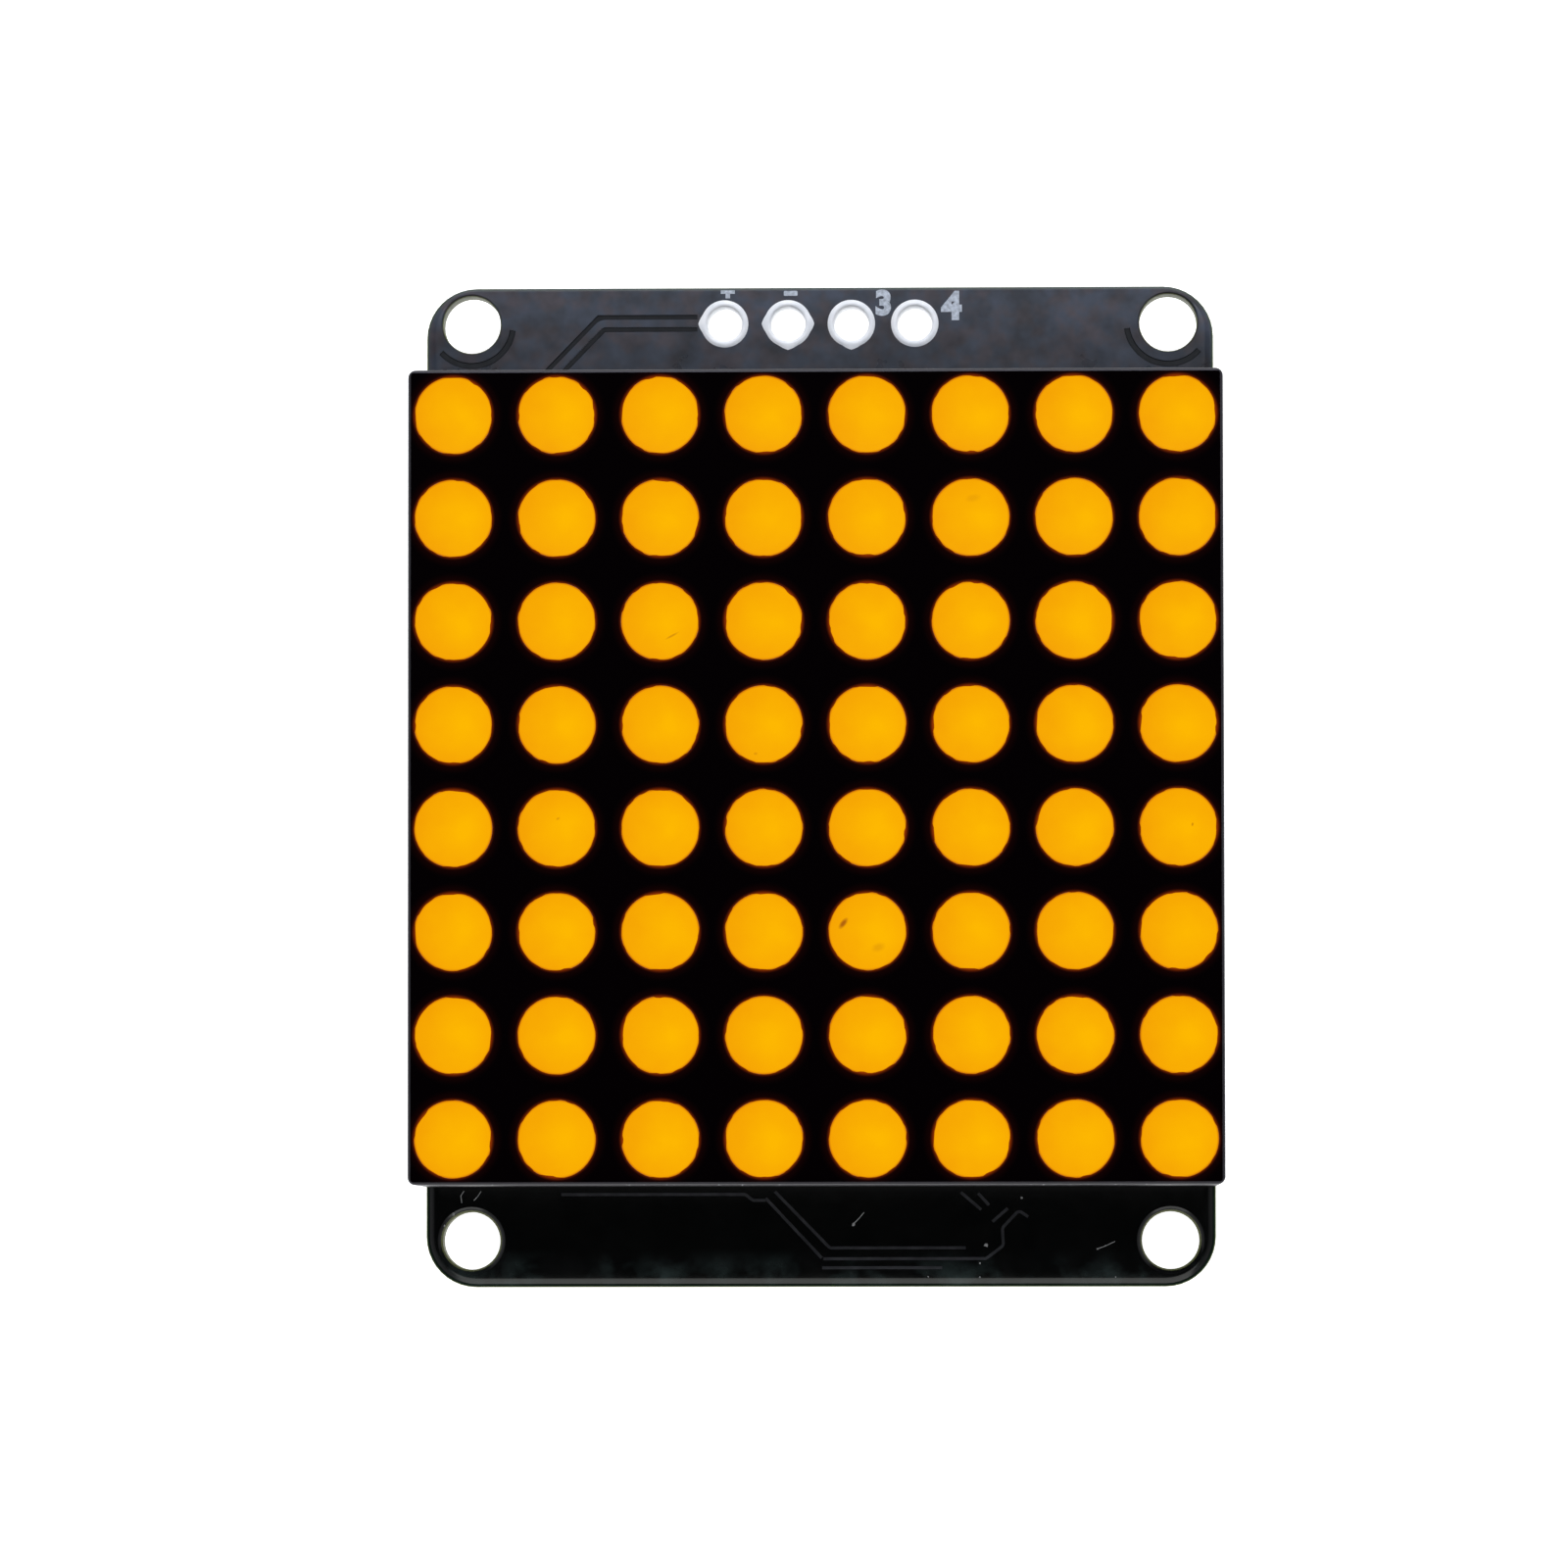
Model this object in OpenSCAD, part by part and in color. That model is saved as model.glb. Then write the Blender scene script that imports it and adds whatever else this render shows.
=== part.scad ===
// LED dot matrix: an 8 by 8 amber display on a small black driver board.
// It lies on the flat top of its driver chip, with the dots facing up (+Z)
// and the row of header holes towards +Y. All sizes are in millimetres.

/* [Display housing] */
// Height of the housing above the board
display_h = 8; // [6:0.5:12]
// Radius of the housing's four upright corners
housing_corner_r = 0.3; // [0.1:0.1:1]
// Thickness of the housing's side walls
housing_wall = 0.8; // [0.5:0.05:0.85]
// Dots along each side
dots = 8; // [7:1:10]
// Distance between neighbouring dots
dot_pitch = 4.06; // [3.8:0.01:5]
// Diameter of a dot at the front face
dot_d = 3; // [2:0.1:3.4]
// Plain rim between the outermost dots and the housing's edge
face_rim = 0.29; // [0.25:0.01:2]
// How much a reflector cup's radius narrows towards its back end
cup_taper = 0.6; // [0.55:0.05:0.8]

/* [Inside the display] */
// Thickness of the board that carries the dice
led_board_t = 1; // [0.6:0.1:1.6]
// Gap for resin around the dice board's edge
led_board_gap = 0.3; // [0.1:0.05:0.8]
// Resin between the dice board and the cups
resin_layer_t = 0.4; // [0.25:0.05:1]
// Resin behind the dice board
resin_cover_t = 0.7; // [0.3:0.05:1]
// How far the back of the resin lies inside the housing's rim
resin_recess = 0.3; // [0.1:0.05:0.8]
// Side of one LED die
die_side = 0.35; // [0.2:0.05:0.6]
// Height of one LED die
die_h = 0.2; // [0.1:0.05:0.24]

/* [Display pins] */
// Pins in each of the two rows
pins_per_row = 8; // [4:1:10]
// Distance between neighbouring pins
pin_pitch = 2.54; // [2:0.01:3]
// Distance from the housing's edge to each row of pins
pin_row_inset = 4; // [2.5:0.1:5]
// Diameter of a pin
pin_d = 0.5; // [0.4:0.05:0.6]
// How far a pin stands out of the board's back
pin_stick_out = 1.1; // [0.9:0.05:1.6]
// Diameter of the board's hole for a pin
pin_hole_d = 0.9; // [0.75:0.05:1.1]
// Diameter of a solder joint where it meets the board
joint_base_d = 1.6; // [1.2:0.1:2]
// Diameter of a solder joint at its tip
joint_tip_d = 0.7; // [0.65:0.05:0.9]
// Height of a solder joint
joint_h = 0.8; // [0.4:0.05:0.85]

/* [Board] */
// How far the board's sides lie inside the housing's sides
board_side_inset = 0.25; // [0:0.05:0.5]
// Width of the bare strip of board above and below the display
board_strip = 4; // [3.5:0.1:8]
// Thickness of the board
board_t = 1.6; // [0.8:0.1:2]
// Radius of the board's corners
board_corner_r = 2; // [1:0.1:2.4]
// Diameter of a mounting hole
mount_hole_d = 2.3; // [1.6:0.1:2.5]
// Distance from the board's sides to the mounting holes
mount_inset_side = 1.8; // [1.5:0.05:2.4]
// Distance from the upper edge to the upper mounting holes
mount_inset_top = 1.45; // [1.3:0.05:2.2]
// Distance from the lower edge to the lower mounting holes
mount_inset_bottom = 1.85; // [1.3:0.05:2.2]

/* [Header pads] */
// Distance between neighbouring header holes
header_pitch = 2.54; // [2:0.01:3]
// Diameter of a plated header hole
header_hole_d = 1.4; // [0.9:0.05:1.5]
// Thickness of the plating inside a header hole
plating_t = 0.05; // [0.03:0.01:0.1]
// Diameter of the tinned ring around a header hole
header_ring_d = 1.9; // [1.8:0.05:1.95]
// Height of the tinned ring above the board
ring_h = 0.05; // [0.03:0.01:0.1]

/* [Driver chip] */
// Length of the chip's body
chip_l = 17.9; // [17.5:0.1:19]
// Width of the chip's body
chip_w = 7.5; // [6:0.1:8]
// Height of the chip's body
chip_h = 2.35; // [1.9:0.05:2.6]
// Gap between the chip's body and the board
chip_stand_off = 0.1; // [0.05:0.05:0.3]
// Width over the tips of the chip's leads
chip_span = 10.3; // [9.6:0.1:11]
// Leads along each side of the chip
leads_per_side = 14; // [4:1:14]
// Distance between neighbouring leads
lead_pitch = 1.27; // [1:0.01:1.28]
// Width of a lead
lead_w = 0.41; // [0.3:0.01:0.5]
// Thickness of a lead
lead_t = 0.25; // [0.15:0.01:0.3]
// Length of a lead's foot on the board
lead_foot = 0.7; // [0.4:0.05:0.8]
// How far a lead runs straight out of the body
lead_shoulder = 0.4; // [0.3:0.05:0.5]
// Radius of the half-round notch at the chip's first end
notch_r = 0.7; // [0.4:0.1:1]
// Depth of the notch
notch_depth = 0.2; // [0.1:0.05:0.4]

/* [Small parts on the back] */
// Length of a chip resistor or capacitor
small_l = 2; // [1.6:0.1:2.2]
// Width of a chip resistor or capacitor
small_w = 1.25; // [0.8:0.05:1.4]
// Height of a chip resistor
resistor_h = 0.55; // [0.4:0.05:0.7]
// Height of a chip capacitor
capacitor_h = 0.9; // [0.6:0.05:1.25]
// Length of the metal cap on each end
cap_l = 0.4; // [0.25:0.05:0.5]
// Thickness of the metal caps
cap_t = 0.05; // [0.03:0.01:0.1]
// Distance from the board's middle to the two pull-up resistors
pull_up_x = 3.6; // [2:0.1:6]
// Distance of the pull-up resistors below the header holes
pull_up_gap = 3.25; // [2:0.05:3.5]
// Distance of the two capacitors from the chip's ends
capacitor_gap = 2.6; // [1.5:0.1:3.5]
// Distance between neighbouring address links
address_pitch = 4.2; // [3.2:0.1:4.6]
// Distance of the address resistors from the lower pin row
address_gap = 2.2; // [1.8:0.1:2.6]
// Distance of the address links from the address resistors
link_gap = 2.1; // [1.8:0.1:2.4]
// Side of one half of an address link along the row
link_half_l = 0.9; // [0.6:0.1:1.1]
// Size of an address link across the row
link_w = 1.3; // [0.8:0.1:1.6]
// Gap between the two halves of an address link
link_split = 0.3; // [0.2:0.05:0.5]
// Tin height of an address link
link_h = 0.05; // [0.03:0.01:0.1]
// Length of the diode's body
diode_l = 2.7; // [2:0.1:3]
// Width of the diode's body
diode_w = 1.6; // [1.2:0.1:2]
// Height of the diode's body
diode_h = 1.05; // [0.8:0.05:1.3]
// Length of a diode tab beyond the body
diode_tab_l = 0.5; // [0.3:0.05:0.8]
// Width of a diode tab
diode_tab_w = 0.6; // [0.4:0.05:1]
// Thickness of a diode tab
diode_tab_t = 0.15; // [0.1:0.01:0.25]

/* [Hidden] */

round_faces = 48;
over = 0.5; // how far a cutting shape runs past the material it cuts

// Heights, counted up from the surface that the driver chip's top lies on.
board_back_z = chip_h + chip_stand_off;
board_front_z = board_back_z + board_t;
face_z = board_front_z + display_h;
resin_back_z = board_front_z + resin_recess;
led_back_z = resin_back_z + resin_cover_t;
led_front_z = led_back_z + led_board_t;
cup_back_z = led_front_z + resin_layer_t;
cup_depth = face_z - cup_back_z;

display_side = (dots - 1) * dot_pitch + dot_d + 2 * face_rim;
pocket_side = display_side - 2 * housing_wall;
led_board_side = pocket_side - 2 * led_board_gap;
upper_pins_y = display_side / 2 - pin_row_inset;
lower_pins_y = -upper_pins_y;

board_w = display_side - 2 * board_side_inset;
board_l = display_side + 2 * board_strip;
mounts_x = board_w / 2 - mount_inset_side;
upper_mounts_y = board_l / 2 - mount_inset_top;
lower_mounts_y = -board_l / 2 + mount_inset_bottom;
header_y = upper_mounts_y;
header_holes = 4;

capacitor_x = chip_l / 2 + capacitor_gap;
pull_up_y = header_y - pull_up_gap;
address_y = lower_pins_y - address_gap;
link_y = address_y - link_gap;
diode_x = -2 * address_pitch - (diode_l - small_l) / 2;

// Centre of each place in an even row of count places along X.
function row_x(count, pitch) = [for (i = [0 : count - 1]) (i - (count - 1) / 2) * pitch];

// Radius of a reflector cup at height z, carried on along its slope.
function cup_r(z) =
    dot_d / 2 - cup_taper * (face_z - z) / cup_depth;

// Rectangle with round corners, centred on the origin.
module rounded_plate(width, length, thickness, r) {
    linear_extrude(thickness) {
        square([width - 2 * r, length], center = true);
        square([width, length - 2 * r], center = true);
        for (x = [-1, 1], y = [-1, 1])
            translate([x * (width / 2 - r), y * (length / 2 - r)])
                circle(r, $fn = round_faces);
    }
}

module block(width, length, height) {
    translate([-width / 2, -length / 2, 0]) cube([width, length, height]);
}

// Puts its child at the place of every dot.
module at_dots() {
    for (x = row_x(dots, dot_pitch), y = row_x(dots, dot_pitch))
        translate([x, y, 0]) children();
}

// One cone for each dot, between two heights, with the slope of the cups.
module cups(from_z, to_z) {
    at_dots()
        translate([0, 0, from_z])
            cylinder(h = to_z - from_z, r1 = cup_r(from_z), r2 = cup_r(to_z), $fn = round_faces);
}

// A row of upright rods of diameter d between two heights.
module pin_row(y, d, from_z, to_z) {
    for (x = row_x(pins_per_row, pin_pitch))
        translate([x, y, from_z]) cylinder(h = to_z - from_z, d = d, $fn = round_faces);
}

module display_pins(y) {
    color("silver")
        pin_row(y, pin_d, board_back_z - pin_stick_out, led_front_z);
}

// Both rows of pins as a cutting shape.
module both_pin_rows(d, from_z, to_z) {
    pin_row(upper_pins_y, d, from_z, to_z);
    pin_row(lower_pins_y, d, from_z, to_z);
}

// Moulded black shell: a thick front plate with a reflector cup for each dot,
// and four walls that stand on the board.
module display_housing() {
    color("#0a0809")
        difference() {
            translate([0, 0, board_front_z])
                rounded_plate(display_side, display_side, display_h, housing_corner_r);
            translate([0, 0, board_front_z - over])
                block(pocket_side, pocket_side, cup_back_z - board_front_z + over);
            cups(cup_back_z - over, face_z + over);
        }
}

// One pour of resin fills the cups and locks the dice board into the pocket.
module diffuser_resin() {
    color("#ffb400")
        difference() {
            union() {
                translate([0, 0, resin_back_z])
                    block(pocket_side, pocket_side, cup_back_z - resin_back_z);
                cups(cup_back_z, face_z);
            }
            led_board_blank();
            die_grid();
            both_pin_rows(pin_d, resin_back_z - over, led_back_z + over);
        }
}

module led_board_blank() {
    translate([0, 0, led_back_z]) block(led_board_side, led_board_side, led_board_t);
}

module led_board() {
    color("#e8e6da")
        difference() {
            led_board_blank();
            both_pin_rows(pin_d, led_back_z - over, led_front_z + over);
        }
}

module die_grid() {
    at_dots()
        translate([0, 0, led_front_z]) block(die_side, die_side, die_h);
}

module led_dice() {
    color("#e07b1a") die_grid();
}

module mounting_holes() {
    for (x = [-1, 1], y = [lower_mounts_y, upper_mounts_y])
        translate([x * mounts_x, y, board_back_z - over])
            cylinder(h = board_t + 2 * over, d = mount_hole_d, $fn = round_faces);
}

module circuit_board() {
    color("#17191d")
        difference() {
            translate([0, 0, board_back_z])
                rounded_plate(board_w, board_l, board_t, board_corner_r);
            mounting_holes();
            for (x = row_x(header_holes, header_pitch))
                translate([x, header_y, board_back_z - over])
                    cylinder(h = board_t + 2 * over, d = header_hole_d + 2 * plating_t,
                        $fn = round_faces);
            both_pin_rows(pin_hole_d, board_back_z - over, board_front_z + over);
        }
}

// Plated header hole: a tinned tube through the board with a ring on each face.
// The places are counted from 0 on the left.
module header_pad(place) {
    tube_d = header_hole_d + 2 * plating_t;
    color("#d9dbdd")
        translate([row_x(header_holes, header_pitch)[place], header_y, board_back_z])
            difference() {
                union() {
                    cylinder(h = board_t, d = tube_d, $fn = round_faces);
                    for (z = [-ring_h, board_t])
                        translate([0, 0, z])
                            cylinder(h = ring_h, d = header_ring_d, $fn = round_faces);
                }
                translate([0, 0, -over])
                    cylinder(h = board_t + 2 * over, d = header_hole_d, $fn = round_faces);
            }
}

// Solder fills each pin's hole and rises round the pin as a cone on the back.
module pin_joints(y) {
    color("#b9bcc0")
        difference() {
            for (x = row_x(pins_per_row, pin_pitch))
                translate([x, y, board_back_z]) {
                    cylinder(h = board_t, d = pin_hole_d, $fn = round_faces);
                    translate([0, 0, -joint_h])
                        cylinder(h = joint_h, d1 = joint_tip_d, d2 = joint_base_d,
                            $fn = round_faces);
                }
            pin_row(y, pin_d, board_back_z - joint_h - over, board_front_z + over);
        }
}

// The driver lies upside down under the board, its marked top on the surface.
module driver_body() {
    color("#202124")
        difference() {
            block(chip_l, chip_w, chip_h);
            translate([-chip_l / 2, 0, -over])
                cylinder(h = notch_depth + over, r = notch_r, $fn = round_faces);
        }
}

// Side view of a lead: out of the body, across to the board, and a foot on it.
module driver_leads(side) {
    root = chip_w / 2;
    tip = chip_span / 2;
    mid_z = chip_h / 2;
    lead_outline = [
        [root, mid_z], [root + lead_shoulder, mid_z],
        [tip - lead_foot + lead_t / 2, board_back_z - lead_t],
        [tip, board_back_z - lead_t], [tip, board_back_z],
        [tip - lead_foot, board_back_z],
        [root + lead_shoulder - lead_t / 2, mid_z + lead_t], [root, mid_z + lead_t]
    ];
    color("#c4c6c8")
        for (x = row_x(leads_per_side, lead_pitch))
            translate([x - side * lead_w / 2, 0, 0])
                rotate([90, 0, side * 90])
                    linear_extrude(lead_w) polygon(lead_outline);
}

// Core of a chip resistor or capacitor, under the board at x, y.
module small_core(x, y, height) {
    translate([x, y, board_back_z - height + cap_t])
        block(small_l - 2 * cap_t, small_w - 2 * cap_t, height - 2 * cap_t);
}

// The two metal caps that wrap the ends of such a core.
module small_caps(x, y, height) {
    color("#d0d2d4")
        difference() {
            for (end = [-1, 1])
                translate([x + end * (small_l - cap_l) / 2, y, board_back_z - height])
                    block(cap_l, small_w, height);
            small_core(x, y, height);
        }
}

module resistor_core(x, y) {
    color("#1b1b1d") small_core(x, y, resistor_h);
}

module capacitor_core(x, y) {
    color("#b08d62") small_core(x, y, capacitor_h);
}

// The three address places stand side by side, counted from 0 on the left.
function address_x(place) = (place - 1) * address_pitch;

// Address link: two tinned half pads, left open.
module address_link(place) {
    color("#d9dbdd")
        for (side = [-1, 1])
            translate([address_x(place) + side * (link_half_l + link_split) / 2, link_y,
                    board_back_z - link_h])
                block(link_half_l, link_w, link_h);
}

module address_diode() {
    color("#222326")
        translate([diode_x, address_y, board_back_z - diode_h])
            block(diode_l, diode_w, diode_h);
}

module address_diode_tabs() {
    color("#c4c6c8")
        for (end = [-1, 1])
            translate([diode_x + end * (diode_l + diode_tab_l) / 2, address_y,
                    board_back_z - diode_tab_t])
                block(diode_tab_l, diode_tab_w, diode_tab_t);
}

display_housing();
diffuser_resin();
led_board();
led_dice();
display_pins(upper_pins_y);  // display_pins_upper
display_pins(lower_pins_y);  // display_pins_lower
circuit_board();
header_pad(0);  // power_pad
header_pad(1);  // ground_pad
header_pad(2);  // data_pad
header_pad(3);  // clock_pad
pin_joints(upper_pins_y);  // pin_joints_upper
pin_joints(lower_pins_y);  // pin_joints_lower
driver_body();
driver_leads(1);  // driver_leads_upper
driver_leads(-1);  // driver_leads_lower
resistor_core(-pull_up_x, pull_up_y);  // data_pull_up
small_caps(-pull_up_x, pull_up_y, resistor_h);  // data_pull_up_caps
resistor_core(pull_up_x, pull_up_y);  // clock_pull_up
small_caps(pull_up_x, pull_up_y, resistor_h);  // clock_pull_up_caps
capacitor_core(-capacitor_x, 0);  // bulk_capacitor
small_caps(-capacitor_x, 0, capacitor_h);  // bulk_capacitor_caps
capacitor_core(capacitor_x, 0);  // supply_capacitor
small_caps(capacitor_x, 0, capacitor_h);  // supply_capacitor_caps
resistor_core(address_x(0), address_y);  // address_resistor_0
resistor_core(address_x(1), address_y);  // address_resistor_1
resistor_core(address_x(2), address_y);  // address_resistor_2
small_caps(address_x(0), address_y, resistor_h);  // address_resistor_caps_0
small_caps(address_x(1), address_y, resistor_h);  // address_resistor_caps_1
small_caps(address_x(2), address_y, resistor_h);  // address_resistor_caps_2
address_link(0);  // address_link_0
address_link(1);  // address_link_1
address_link(2);  // address_link_2
address_diode();
address_diode_tabs();
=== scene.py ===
import random
from functools import partial
from math import cos, hypot, pi, radians, sin

import bmesh
import bpy
from mathutils import Matrix, Vector


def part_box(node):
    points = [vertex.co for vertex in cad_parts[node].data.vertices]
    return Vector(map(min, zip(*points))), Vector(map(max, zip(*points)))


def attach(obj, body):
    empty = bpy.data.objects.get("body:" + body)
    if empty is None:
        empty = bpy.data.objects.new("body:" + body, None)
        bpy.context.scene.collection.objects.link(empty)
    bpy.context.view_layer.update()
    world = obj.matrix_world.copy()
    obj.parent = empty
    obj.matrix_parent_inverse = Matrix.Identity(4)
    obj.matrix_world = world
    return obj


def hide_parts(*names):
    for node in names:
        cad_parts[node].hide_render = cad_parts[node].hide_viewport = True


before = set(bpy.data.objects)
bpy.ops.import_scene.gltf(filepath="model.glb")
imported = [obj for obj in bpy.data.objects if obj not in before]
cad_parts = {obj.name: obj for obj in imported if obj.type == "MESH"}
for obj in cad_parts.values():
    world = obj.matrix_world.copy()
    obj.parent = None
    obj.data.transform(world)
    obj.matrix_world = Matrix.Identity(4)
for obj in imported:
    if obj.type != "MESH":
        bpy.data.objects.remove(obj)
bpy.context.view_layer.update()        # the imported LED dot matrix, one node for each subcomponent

scene = bpy.context.scene
mm = 0.001               # sizes below are in millimetres; meshes are in metres


# ---- Camera ----
# A long lens 0.4 m above the face, a little right of the middle and below it, so that the
# display's lower wall and the upper walls of the board's holes just show.
lens = bpy.data.cameras.new("camera")
lens.sensor_width = 36.0
lens.lens = 227.4
lens.clip_start = 0.01
lens.clip_end = 20.0
camera = bpy.data.objects.new("camera", lens)
camera.location = (9.13 * mm, -19.53 * mm, 399.42 * mm)
camera.rotation_euler = (radians(2.837), radians(1.536), radians(-0.065))
scene.collection.objects.link(camera)
scene.camera = camera
scene.view_settings.view_transform = "Standard"


# ---- Floor and light ----
# White paper on a light table, inside a pale tent that is open and dark only round the
# lens, with a large soft lamp beyond the header and a weaker one on the near side.
def to_linear(colour):
    """Linear colour with full alpha of an sRGB hex value."""
    parts = [int(colour[at:at + 2], 16) / 255 for at in (1, 3, 5)]
    return [p / 12.92 if p <= 0.04045 else ((p + 0.055) / 1.055) ** 2.4 for p in parts] + [1.0]


def add_node(tree, kind, inputs=None, **settings):
    """Adds one node: settings are its own properties, inputs are values, hex colours or links."""
    made = tree.nodes.new(kind)
    for name, value in settings.items():
        setattr(made, name, value)
    for key, value in (inputs or {}).items():
        if isinstance(value, bpy.types.Node):
            value = value.outputs[0]
        if isinstance(value, str):
            value = to_linear(value)
        if isinstance(value, bpy.types.NodeSocket):
            tree.links.new(value, made.inputs[key])
        else:
            made.inputs[key].default_value = value
    return made


def open_material(name):
    """An empty material, what adds a node to it, and its Object coordinates, in metres."""
    made = bpy.data.materials.new(name)
    made.use_nodes = True
    made.node_tree.nodes.clear()
    add = partial(add_node, made.node_tree)
    return made, add, add("ShaderNodeTexCoord").outputs["Object"]


# Matt cotton paper: a faint tooth that only softens its shading.
paper, add, place = open_material("matt_cotton_paper")
tooth = add("ShaderNodeTexNoise", {"Vector": place, "Scale": 1 / (0.6 * mm), "Detail": 2.0})
relief = add("ShaderNodeBump", {"Strength": 0.05, "Distance": 0.02 * mm, "Height": tooth})
shader = add("ShaderNodeBsdfPrincipled", {
    "Base Color": "#f4f4f2", "Roughness": 0.9, "Normal": relief,
    "Emission Color": "#ffffff", "Emission Strength": 0.85})
add("ShaderNodeOutputMaterial", {"Surface": shader})

floor_half = 3.0
floor_mesh = bpy.data.meshes.new("floor")
corners = [(-floor_half, -floor_half, 0), (floor_half, -floor_half, 0),
           (floor_half, floor_half, 0), (-floor_half, floor_half, 0)]
floor_mesh.from_pydata(corners, [], [(0, 1, 2, 3)])
floor_mesh.materials.append(paper)
floor = bpy.data.objects.new("floor", floor_mesh)
scene.collection.objects.link(floor)

tent = bpy.data.worlds.new("tent")
scene.world = tent
tent.use_nodes = True
tent.node_tree.nodes.clear()
add = partial(add_node, tent.node_tree)
around = add("ShaderNodeTexCoord").outputs["Generated"]
facing = add("ShaderNodeSeparateXYZ", {"Vector": around})
glow = add("ShaderNodeMapRange", {
    "Value": facing.outputs["Z"], "From Min": cos(radians(17)), "From Max": cos(radians(70)),
    "To Min": 0.015, "To Max": 0.9}, interpolation_type="SMOOTHSTEP")
sky = add("ShaderNodeBackground", {"Color": "#f6f7fb", "Strength": glow})
add("ShaderNodeOutputWorld", {"Surface": sky})


def add_lamp(name, place, width, depth, radiance, colour):
    """A soft rectangular lamp aimed at the display."""
    made = bpy.data.lights.new(name, "AREA")
    made.shape = "RECTANGLE"
    made.size = width
    made.size_y = depth
    made.energy = radiance * pi * width * depth
    made.color = to_linear(colour)[:3]
    lamp = bpy.data.objects.new(name, made)
    lamp.location = place
    lamp.rotation_euler = (-Vector(place)).to_track_quat("-Z", "Y").to_euler()
    scene.collection.objects.link(lamp)


add_lamp("header_side_lamp", (0.02, 0.28, 0.50), 0.45, 0.28, 5.8, "#eef3fd")
add_lamp("near_side_lamp", (0.02, -0.29, 0.41), 0.40, 0.28, 1.5, "#f4f6f2")


# ---- Display housing ----
# The black shell of the display: a thick front plate with an 8 by 8 grid of reflector cups
# and four walls, injection moulded in ABS with rounded front edges, standing on the board.
board_front = 4.05
face_top = 12.05
ink_film = 0.02
plate_top = face_top - ink_film
cup_back = 6.45
display_side = 32.0
pocket_side = 30.4
dots = 8
dot_pitch = 4.06
dot_radius = 1.54
cup_back_radius = 0.9
edge_radius = 0.11


def rect_outline(width, length, radius=0.0, steps=6, at=(0, 0)):
    """Outline of an upright rectangle with round corners, counter-clockwise from above."""
    if not radius:
        steps = 0
    outline = []
    for quarter, (side_x, side_y) in enumerate(((1, 1), (-1, 1), (-1, -1), (1, -1))):
        for step in range(steps + 1):
            angle = (quarter + (step / steps if steps else 0)) * pi / 2
            outline.append((at[0] + side_x * (width / 2 - radius) + radius * cos(angle),
                            at[1] + side_y * (length / 2 - radius) + radius * sin(angle)))
    return outline


def round_outline(radius, steps=32, at=(0, 0)):
    """Outline of a circle, counter-clockwise from above."""
    turns = [2 * pi * step / steps for step in range(steps)]
    return [(at[0] + radius * cos(turn), at[1] + radius * sin(turn)) for turn in turns]


def ring(mesh, outline, height):
    """Corners of an outline at one height."""
    return [mesh.verts.new((x * mm, y * mm, height * mm)) for x, y in outline]


def band(mesh, low, high, material=0):
    """Wall from one ring up to another, facing outwards; rings given top first face inwards."""
    for here in range(len(low)):
        there = (here + 1) % len(low)
        face = mesh.faces.new((low[here], low[there], high[there], high[here]))
        face.smooth = True
        face.material_index = material


def lid(mesh, outer, holes=(), up=True, material=0):
    """Level surface inside a ring and around any holes, facing up or down."""
    edges = []
    for outline in (outer, *holes):
        for start, end in zip(outline, outline[1:] + outline[:1]):
            edges.append(mesh.edges.get((start, end)) or mesh.edges.new((start, end)))
    before = set(mesh.faces)
    bmesh.ops.triangle_fill(mesh, use_beauty=True, edges=edges, normal=(0, 0, 1))
    for face in set(mesh.faces) - before:
        face.material_index = material
        face.smooth = False
        face.normal_update()
        if (face.normal.z > 0) != up:
            face.normal_flip()


def as_piece(name, mesh, *materials, crease=38):
    """A scene object from a built mesh, smooth except across edges sharper than crease."""
    data = bpy.data.meshes.new(name)
    mesh.to_mesh(data)
    mesh.free()
    for material in materials:
        data.materials.append(material)
    data.set_sharp_from_angle(angle=radians(crease))
    made = bpy.data.objects.new(name, data)
    scene.collection.objects.link(made)
    return made


def hand_in(piece, slot, *nodes):
    """Hides the CAD nodes a piece stands for, if any, and hangs the piece on the root body; slot is not used.
    """
    if nodes:
        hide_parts(*nodes)
    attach(piece, "root")


def rounding(radius, steps):
    """Inset and rise along a quarter round, from upright to level."""
    turns = [step / steps * pi / 2 for step in range(steps + 1)]
    return [(radius - radius * cos(turn), radius * sin(turn)) for turn in turns]


dot_places = [((column - (dots - 1) / 2) * dot_pitch, (row - (dots - 1) / 2) * dot_pitch)
              for row in range(dots) for column in range(dots)]

# Injection-moulded ABS: near black with a violet cast, a fine spark-eroded grain that keeps
# it satin, and paler rubbed spots that show only where an edge catches the lamps.
abs_plastic, add, place = open_material("moulded_black_abs")
grain = add("ShaderNodeTexNoise", {"Vector": place, "Scale": 1 / (0.10 * mm), "Detail": 3.0})
rubs = add("ShaderNodeTexNoise", {
    "Vector": place, "Scale": 1 / (0.9 * mm), "Detail": 5.0, "Roughness": 0.65})
rubbed = add("ShaderNodeMapRange", {"Value": rubs, "From Min": 0.52, "From Max": 0.78})
colour = add("ShaderNodeMix", {
    0: rubbed, 6: "#080709", 7: "#1d1c1f"}, data_type="RGBA")
gloss = add("ShaderNodeMapRange", {"Value": rubs, "To Min": 0.34, "To Max": 0.52})
relief = add("ShaderNodeBump", {"Strength": 0.35, "Distance": 0.006 * mm, "Height": grain})
shader = add("ShaderNodeBsdfPrincipled", {
    "Base Color": colour.outputs[2], "Roughness": gloss, "Normal": relief, "IOR": 1.54,
    "Specular Tint": "#f4f0fa"})
add("ShaderNodeOutputMaterial", {"Surface": shader})

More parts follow.
